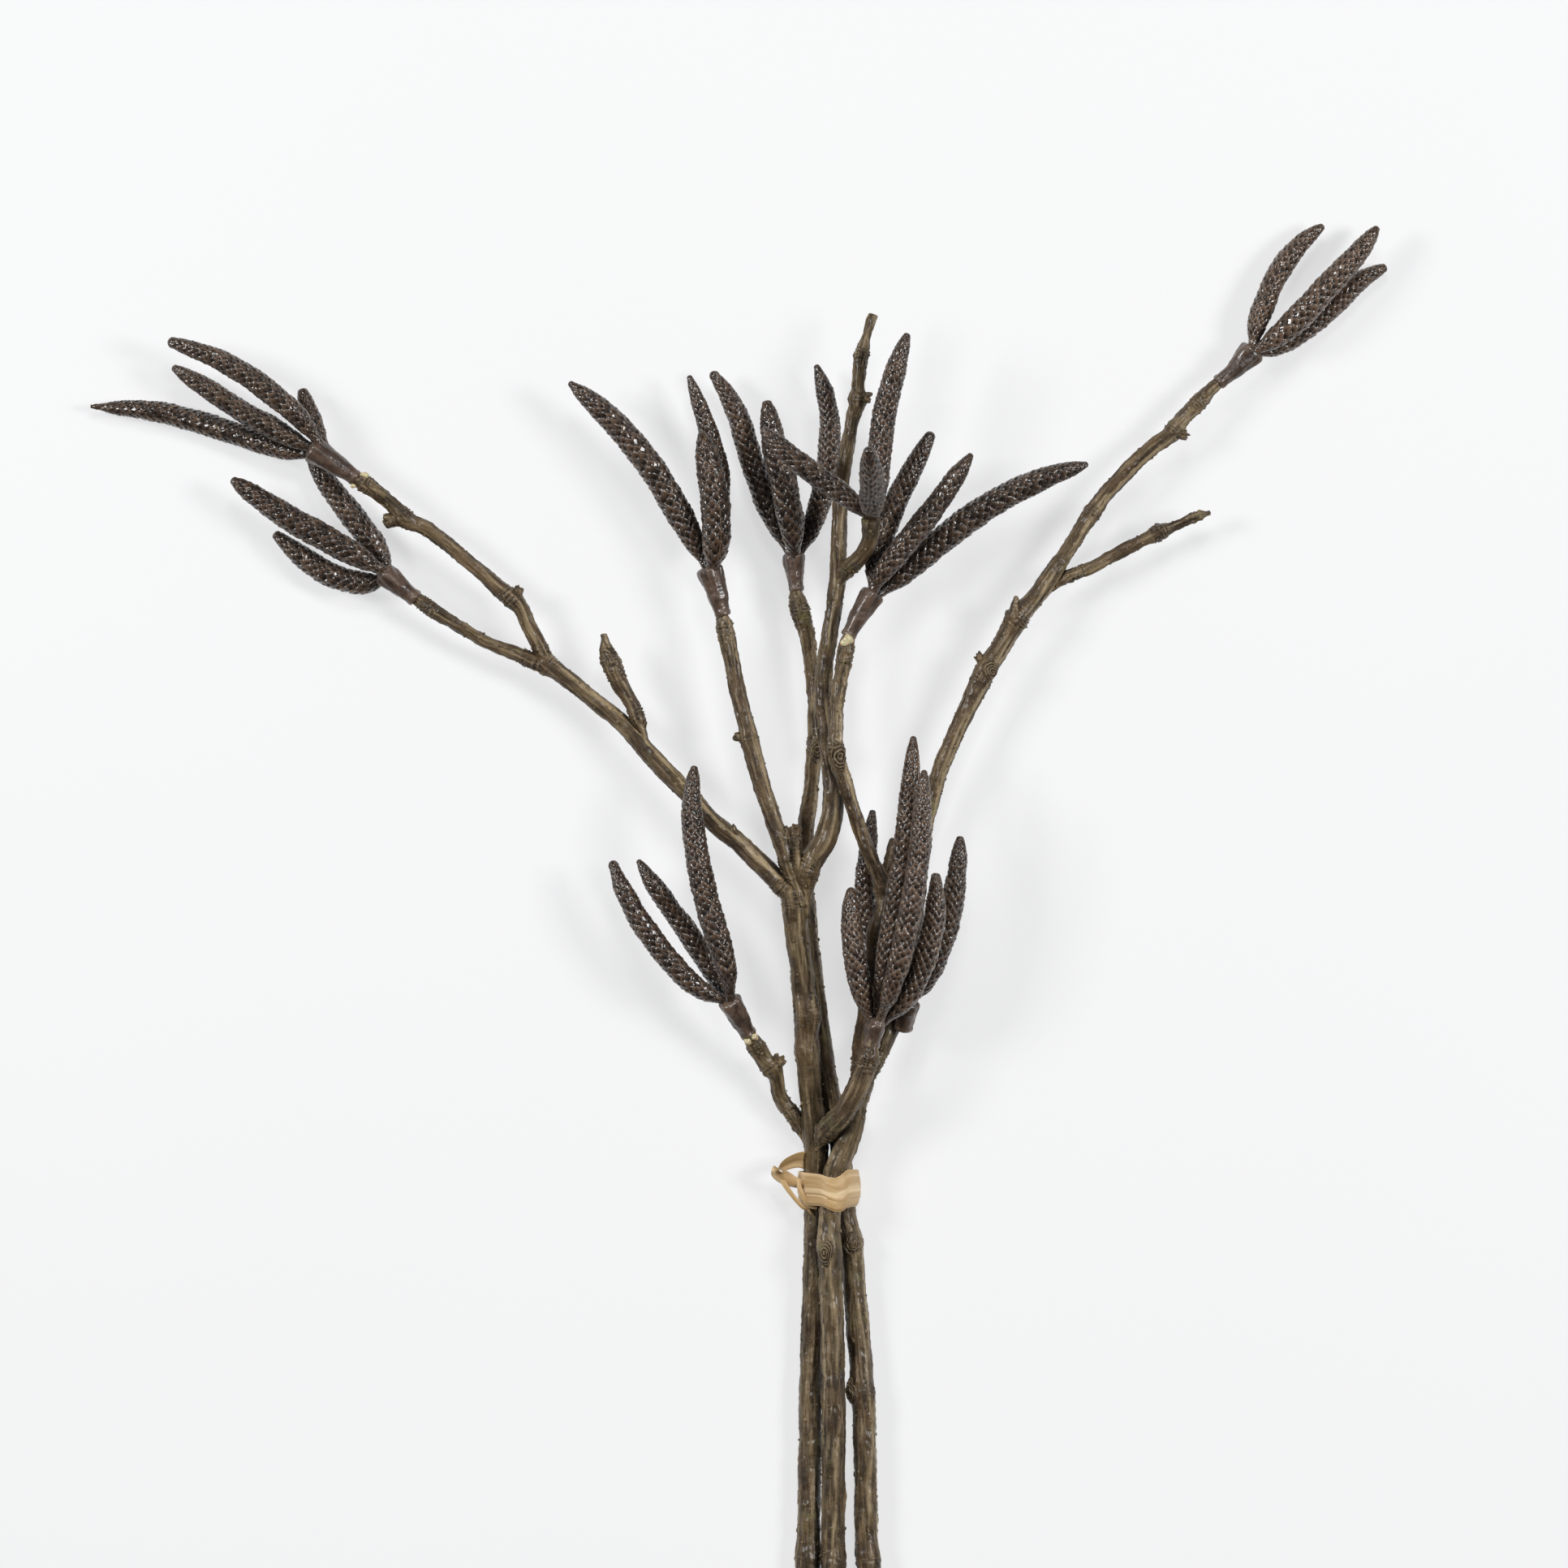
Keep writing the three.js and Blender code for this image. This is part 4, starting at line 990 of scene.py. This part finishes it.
for name in CATKINS:
    line, radii = traced[name]
    tip = BLUNT_TIP if name in BLUNT else SHARP_TIP
    rod = round_tip(spread(line, radii, CATKIN_STEP, sink=2.0), tip)
    capped = with_caps(rod, 0.1, tip)
    seed = seed_of(name)
    parts = [catkin_part(capped, seed, PALER.get(name[:-1], 0.0))]
    if name in FLASH:
        parts.append(flash_part(rod, FLASH[name]))
    make_piece(name + "_scales", parts, CATKIN, name)
print(len(CATKINS), "catkins,", sum(faces for name, faces in PIECES if "scales" in name), "triangles")

# %% [markdown]
# ## Sleeves
# A sleeve is a short moulded tube. Its lower rim stands out a little where it was cut, and its mouth is
# lumpy, because the feet of the catkins are pressed into it.

# %% Make the sleeves
SLEEVE_TURNS = 40
SLEEVE_STEP = 0.4        # millimetres between rings
SLEEVE_SHARE = 0.93      # a sleeve's mean radius, as a share of the traced one


def sleeve_part(rod, seed):
    """Radius = traced radius + a rim at the foot + folds that deepen to the mouth + fine lines along."""
    angle = full_turn(SLEEVE_TURNS)[None]
    along, radius = rod["along"][:, None], rod["radius"][:, None]
    out = on_cylinder(rod, angle)
    rim = np.exp(-((along - 0.9) / 0.7) ** 2)
    mouth = step_up(along, rod["length"] * 0.45, rod["length"] - 1)
    lines = waves(out * [1, 1, 0.15], 1.7, seed)
    ridge = np.abs(waves(out * [1, 1, 0.2], 4.5, seed + 1))
    bumps = waves(out, 1.6, seed + 2)
    height = 0.22 * rim + mouth * (0.75 * ridge - 0.25) + 0.10 * lines + 0.06 * bumps
    skin = round_skin(rod, (radius + height) * rod["shrink"][:, None], SLEEVE_TURNS)
    folds = mouth * step_up(ridge, 0.8, 1.4)
    proud = np.clip(0.6 * rim + 0.5 * step_up(lines, 0.8, 1.6) + 0.4 * folds, 0, 1)
    # painted shade: the hollows between the folds at the mouth and between the lines are darkened
    crease = np.clip(mouth * step_up(-ridge, -0.3, 0.0) + 0.6 * step_up(-lines, 0.6, 1.6), 0, 1)
    return wrapped(skin, {"proud": proud, "crease": with_crowd_shade(rod, skin, crease)})


for name in SLEEVES:
    line, radii = traced[name]
    rod = with_caps(spread(line, SLEEVE_SHARE * radii, SLEEVE_STEP), 0.3, 1.6)
    make_piece(name + "_skin", [sleeve_part(rod, seed_of(name))], SLEEVE, name)
print(len(SLEEVES), "sleeves")

# %% [markdown]
# ## Raffia tie and glue
# The tie is one strip of raffia, a dried palm leaf that splits into flat ribbons. It goes round the three
# stems, and its ends make a folded loop and a thin tail on the left. A ribbon is a closed cross-section,
# wide and thin and a little cupped, that is carried along a route. Small yellow beads of glue sit where
# three of the sleeves meet their branches.

# %% A ribbon along a route
def ribbon(centre, across, width, thick, cup, seed):
    """Point = centre + v * width/2 * across + (cup * (1 - v^2) + folds +- thickness/2) * face, where v runs
    from -1 to 1 and back, so that the cross-section is closed."""
    way = unit(np.gradient(centre, axis=0))
    across = unit(across - (across * way).sum(1, keepdims=True) * way)
    face = np.cross(way, across)
    over = np.linspace(-1, 1, 13)
    v = np.concatenate([over, over[::-1]])[None]
    side = np.concatenate([np.ones(13), -np.ones(13)])[None] * np.sqrt(1.03 - v ** 2)
    along = np.append(0, np.cumsum(np.linalg.norm(np.diff(centre, axis=0), axis=1)))[:, None]
    flat = np.stack([v * width[:, None] / 2, along + 0 * v, 0 * v + 0 * along], -1)
    folds = 0.05 * waves(flat * [1, 0.03, 1], 1.6, seed) + 0.08 * waves(flat * [1, 0.2, 1], 4.0, seed + 1)
    lift = cup * (1 - v ** 2) + folds + side * thick / 2
    points = (centre[:, None] + v[..., None] * (width[:, None, None] / 2) * across[:, None]
              + lift[..., None] * face[:, None])
    ones = np.ones(points.shape[:2])
    # painted shade: the troughs of the folds are darkened
    return wrapped(points, {"across": v * width[:, None] / 2, "down": along * ones,
                            "crease": np.clip(-folds * 5, 0, 1)})


# %% Wind the band and make its ends
BAND_EDGES = {           # how far the band's edges move along the stems, at degrees round it (90 faces up)
    "degrees": (0, 30, 55, 80, 110, 135, 160, 200, 270, 360),
    "upper": (6.6, 7.2, 5.6, 4.2, 4.6, 5.6, 6.2, 6.2, 6.0, 6.6),
    "lower": (-5.2, -5.8, -7.2, -7.3, -6.0, -5.0, -5.4, -5.8, -5.4, -5.2),
}
FOLDS = ((0.24, 0.8, 0.34), (0.44, 1.2, 0.10), (0.62, 1.7, 0.20))        # share across, slope, depth
LOOP = ((-7.5, 9.6, 6.0), (-11, 10.4, 10.0), (-15, 9.2, 13.0), (-18.3, 7.2, 14.2), (-18.6, 5.6, 13.2),
        (-16.4, 4.2, 12.4), (-13.2, 2.6, 11.6), (-9.6, 1.6, 10.4))
LOOP_ACROSS = ((0.25, 1, 0.1), (0.3, 1, 0.2), (0.45, 0.9, 0.2), (0.7, 0.7, 0.3), (0.8, 0.5, 0.2),
               (0.75, 0.65, 0.1), (0.4, 0.9, 0.2), (0.1, 1, 0.2))
LOOP_WIDTH = (6.2, 6.0, 5.6, 5.0, 5.0, 5.2, 4.2, 3.2)
TAIL = ((-18.3, 5.0, 12.2), (-15.2, 0.0, 12.6), (-12.0, -4.2, 12.4), (-9.6, -6.6, 11.6), (-8.0, -7.2, 11.0),
        (-6.7, -9.2, 10.6))
TAIL_WIDTH = (2.2, 1.8, 1.5, 1.5, 1.1, 0.5)
STRAND = ((-11.6, 3.4, 11.6), (-11.0, 0.2, 12.2), (-9.4, -3.0, 12.0), (-7.4, -5.4, 11.6), (-4.6, -6.4, 11.4))
STRAND_WIDTH = (1.6, 1.8, 2.2, 2.8, 2.0)
TAIL_ACROSS = ((0.8, 0.6, 0.1),) * len(TAIL)
STRAND_ACROSS = TAIL_ACROSS[:len(STRAND)]
STRIP_THICK = 0.26
BAND_THICK = 0.28
BAND_WIDTH = 12          # millimetres along the stems
BAND_RADIUS = 10         # millimetres: a radian round the band is this long
BAND_STATIONS = 160


def outline(points, count):
    """The rounded outline of points in x and z: support h(angle), and point = h * n + h' * t."""
    angle = full_turn(count)
    reach = (np.cos(angle)[:, None] * points[:, 0] + np.sin(angle)[:, None] * points[:, 2]).max(1)
    ring = np.concatenate([reach, reach, reach])
    reach = soften(ring, count / 60)[count:2 * count]
    slope = (np.roll(reach, -1) - np.roll(reach, 1)) / (2 * (angle[1] - angle[0]))
    return angle, np.stack([reach * np.cos(angle) - slope * np.sin(angle),
                            reach * np.sin(angle) + slope * np.cos(angle)], -1)


def band_part(lift, upper_shift, lower_shift, seed):
    """The band: a closed loop of thin cross-sections between its two edges, with lengthwise folds."""
    angle, ring = outline(wound, BAND_STATIONS)
    degrees = np.degrees(angle)
    edges = {key: soften(np.interp(degrees, BAND_EDGES["degrees"], BAND_EDGES[key]), 2)
             for key in ("upper", "lower")}
    share = np.linspace(0, 1, 25)[None]
    low_edge = (edges["lower"] + lower_shift)[:, None]
    high_edge = (edges["upper"] + upper_shift)[:, None]
    y = tie[1] + low_edge + (high_edge - low_edge) * share
    turn = np.sin(angle - 1.2)[:, None]
    bend = np.zeros_like(y)
    for place, slope, depth in FOLDS:
        across = share - place - 0.10 * slope * turn
        bend += depth * (np.exp(-(np.clip(across, 0, 1) / 0.16) ** 2) * (across > 0)
                         - np.exp(-(across / 0.03) ** 2) * 0.7)
    flat = np.stack([share * BAND_WIDTH + 0 * y, angle[:, None] * BAND_RADIUS + 0 * y, 0 * y], -1)
    bulge = 0.25 + 0.45 * step_up(np.cos(angle), 0.0, 0.9)[:, None]
    bend += 0.06 * waves(flat * [1, 0.2, 1], 5.0, seed) + bulge * (1 - (2 * share - 1) ** 2)
    out = np.stack([np.cos(angle), 0 * angle, np.sin(angle)], -1)[:, None]
    middle_line = np.stack([ring[:, 0, None] + 0 * y, y, ring[:, 1, None] + 0 * y], -1)
    outer = middle_line + out * (lift + bend)[..., None]
    inner = middle_line + out * (lift + bend - BAND_THICK)[..., None]
    skin = np.concatenate([outer, inner[:, ::-1]], 1)
    rings, turns = skin.shape[:2]
    index = np.arange(rings * turns).reshape(rings, turns)
    after, below = np.roll(index, -1, 1), np.roll(index, -1, 0)
    quads = np.stack([index, below, np.roll(after, -1, 0), after], -1).reshape(-1, 4)
    across = np.concatenate([share, share[:, ::-1]], 1) * BAND_WIDTH + 0 * skin[..., 0]
    # painted shade: where the band dips between its folds it is darkened
    crease = np.clip(-np.concatenate([bend, bend[:, ::-1]], 1) * 2.5, 0, 1)
    down = angle[:, None] * BAND_RADIUS + 0 * across
    values = {"across": across.ravel(), "crease": crease.ravel(), "down": down.ravel()}
    return skin.reshape(-1, 3), [quads], values


def strip_part(route, across, width, cup, seed, count=70):
    """A ribbon along a route from the tie, whose direction across and width change from place to place."""
    widths = smooth_line(np.array(width)[:, None], count)[:, 0]
    return ribbon(smooth_line(route, count) + tie, smooth_line(across, count), widths, STRIP_THICK, cup, seed)


make_piece("raffia_ribbon", [
    band_part(0.40, 0.0, 0.0, 3),
    band_part(0.00, -2.5, -0.7, 4),
    strip_part(LOOP, LOOP_ACROSS, LOOP_WIDTH, 0.5, 5),
    strip_part(TAIL, TAIL_ACROSS, TAIL_WIDTH, 0.2, 6),
    strip_part(STRAND, STRAND_ACROSS, STRAND_WIDTH, 0.3, 7),
], RAFFIA, "raffia_tie")

# %% Beads of glue
GLUE_STEP = 0.4
BEADS = {                # sleeve: (millimetres up it, degrees round it, size) of each bead
    "sleeve_a": ((-1.6, 20, 1.45), (-0.8, 165, 0.95)),
    "sleeve_f": ((-1.2, 75, 2.0),),
    "sleeve_h": ((-0.5, 60, 1.3), (-0.8, 120, 1.2)),
}


def bead(rod, along, degrees, size, seed):
    """A lumpy ball: radius = size * (1 + soft field), flattened against the branch."""
    height = np.linspace(0.02, 0.98, 11)[:, None] * math.pi
    turn = full_turn(18)[None]
    ball = np.stack([np.sin(height) * np.cos(turn), np.sin(height) * np.sin(turn),
                     -np.cos(height) + 0 * turn], -1)
    ball *= (size * (1 + 0.20 * waves(ball, 1.1, seed)))[..., None] * [1.05, 0.95, 0.85]
    place = rod["centre"][0] + rod["way"][0] * along
    out = math.cos(math.radians(degrees)) * rod["side"][0] + math.sin(math.radians(degrees)) * rod["up"][0]
    place = place + out * (rod["radius"][0] * 0.95)
    return wrapped(place + ball, {"crease": 0 * ball[..., 0]})


for name, beads in BEADS.items():
    rod = spread(*traced[name], GLUE_STEP)
    make_piece(name + "_glue", [bead(rod, *one, seed_of(name)) for one in beads], GLUE, None)
print(len(BEADS), "sleeves with glue")

# %% [markdown]
# ## The surface
# The surface is plain and pale. It glows a little by itself, so that the shadows on it stay faint.

# %% Floor
def floor_finish():
    s = Shader("floor")
    paper = s.noise(0.4, 2)
    return s.finish(s.blend(paper, *FLOOR_GREYS), 0.9, paper, 0.00001, Emission_Color=(0.985, 0.99, 1.0, 1),
                    Emission_Strength=FLOOR_GLOW)


half = FLOOR_SIZE / 2
floor_mesh = bpy.data.meshes.new("floor")
floor_mesh.from_pydata([(-half, -half, 0), (half, -half, 0), (half, half, 0), (-half, half, 0)], [],
                       [(0, 1, 2, 3)])
floor = add_object("floor", floor_mesh)
floor_mesh.materials.append(floor_finish())

# %% Count the triangles and finish
print(sum(count for _, count in PIECES), "triangles in", len(PIECES), "pieces")
bpy.context.view_layer.update()
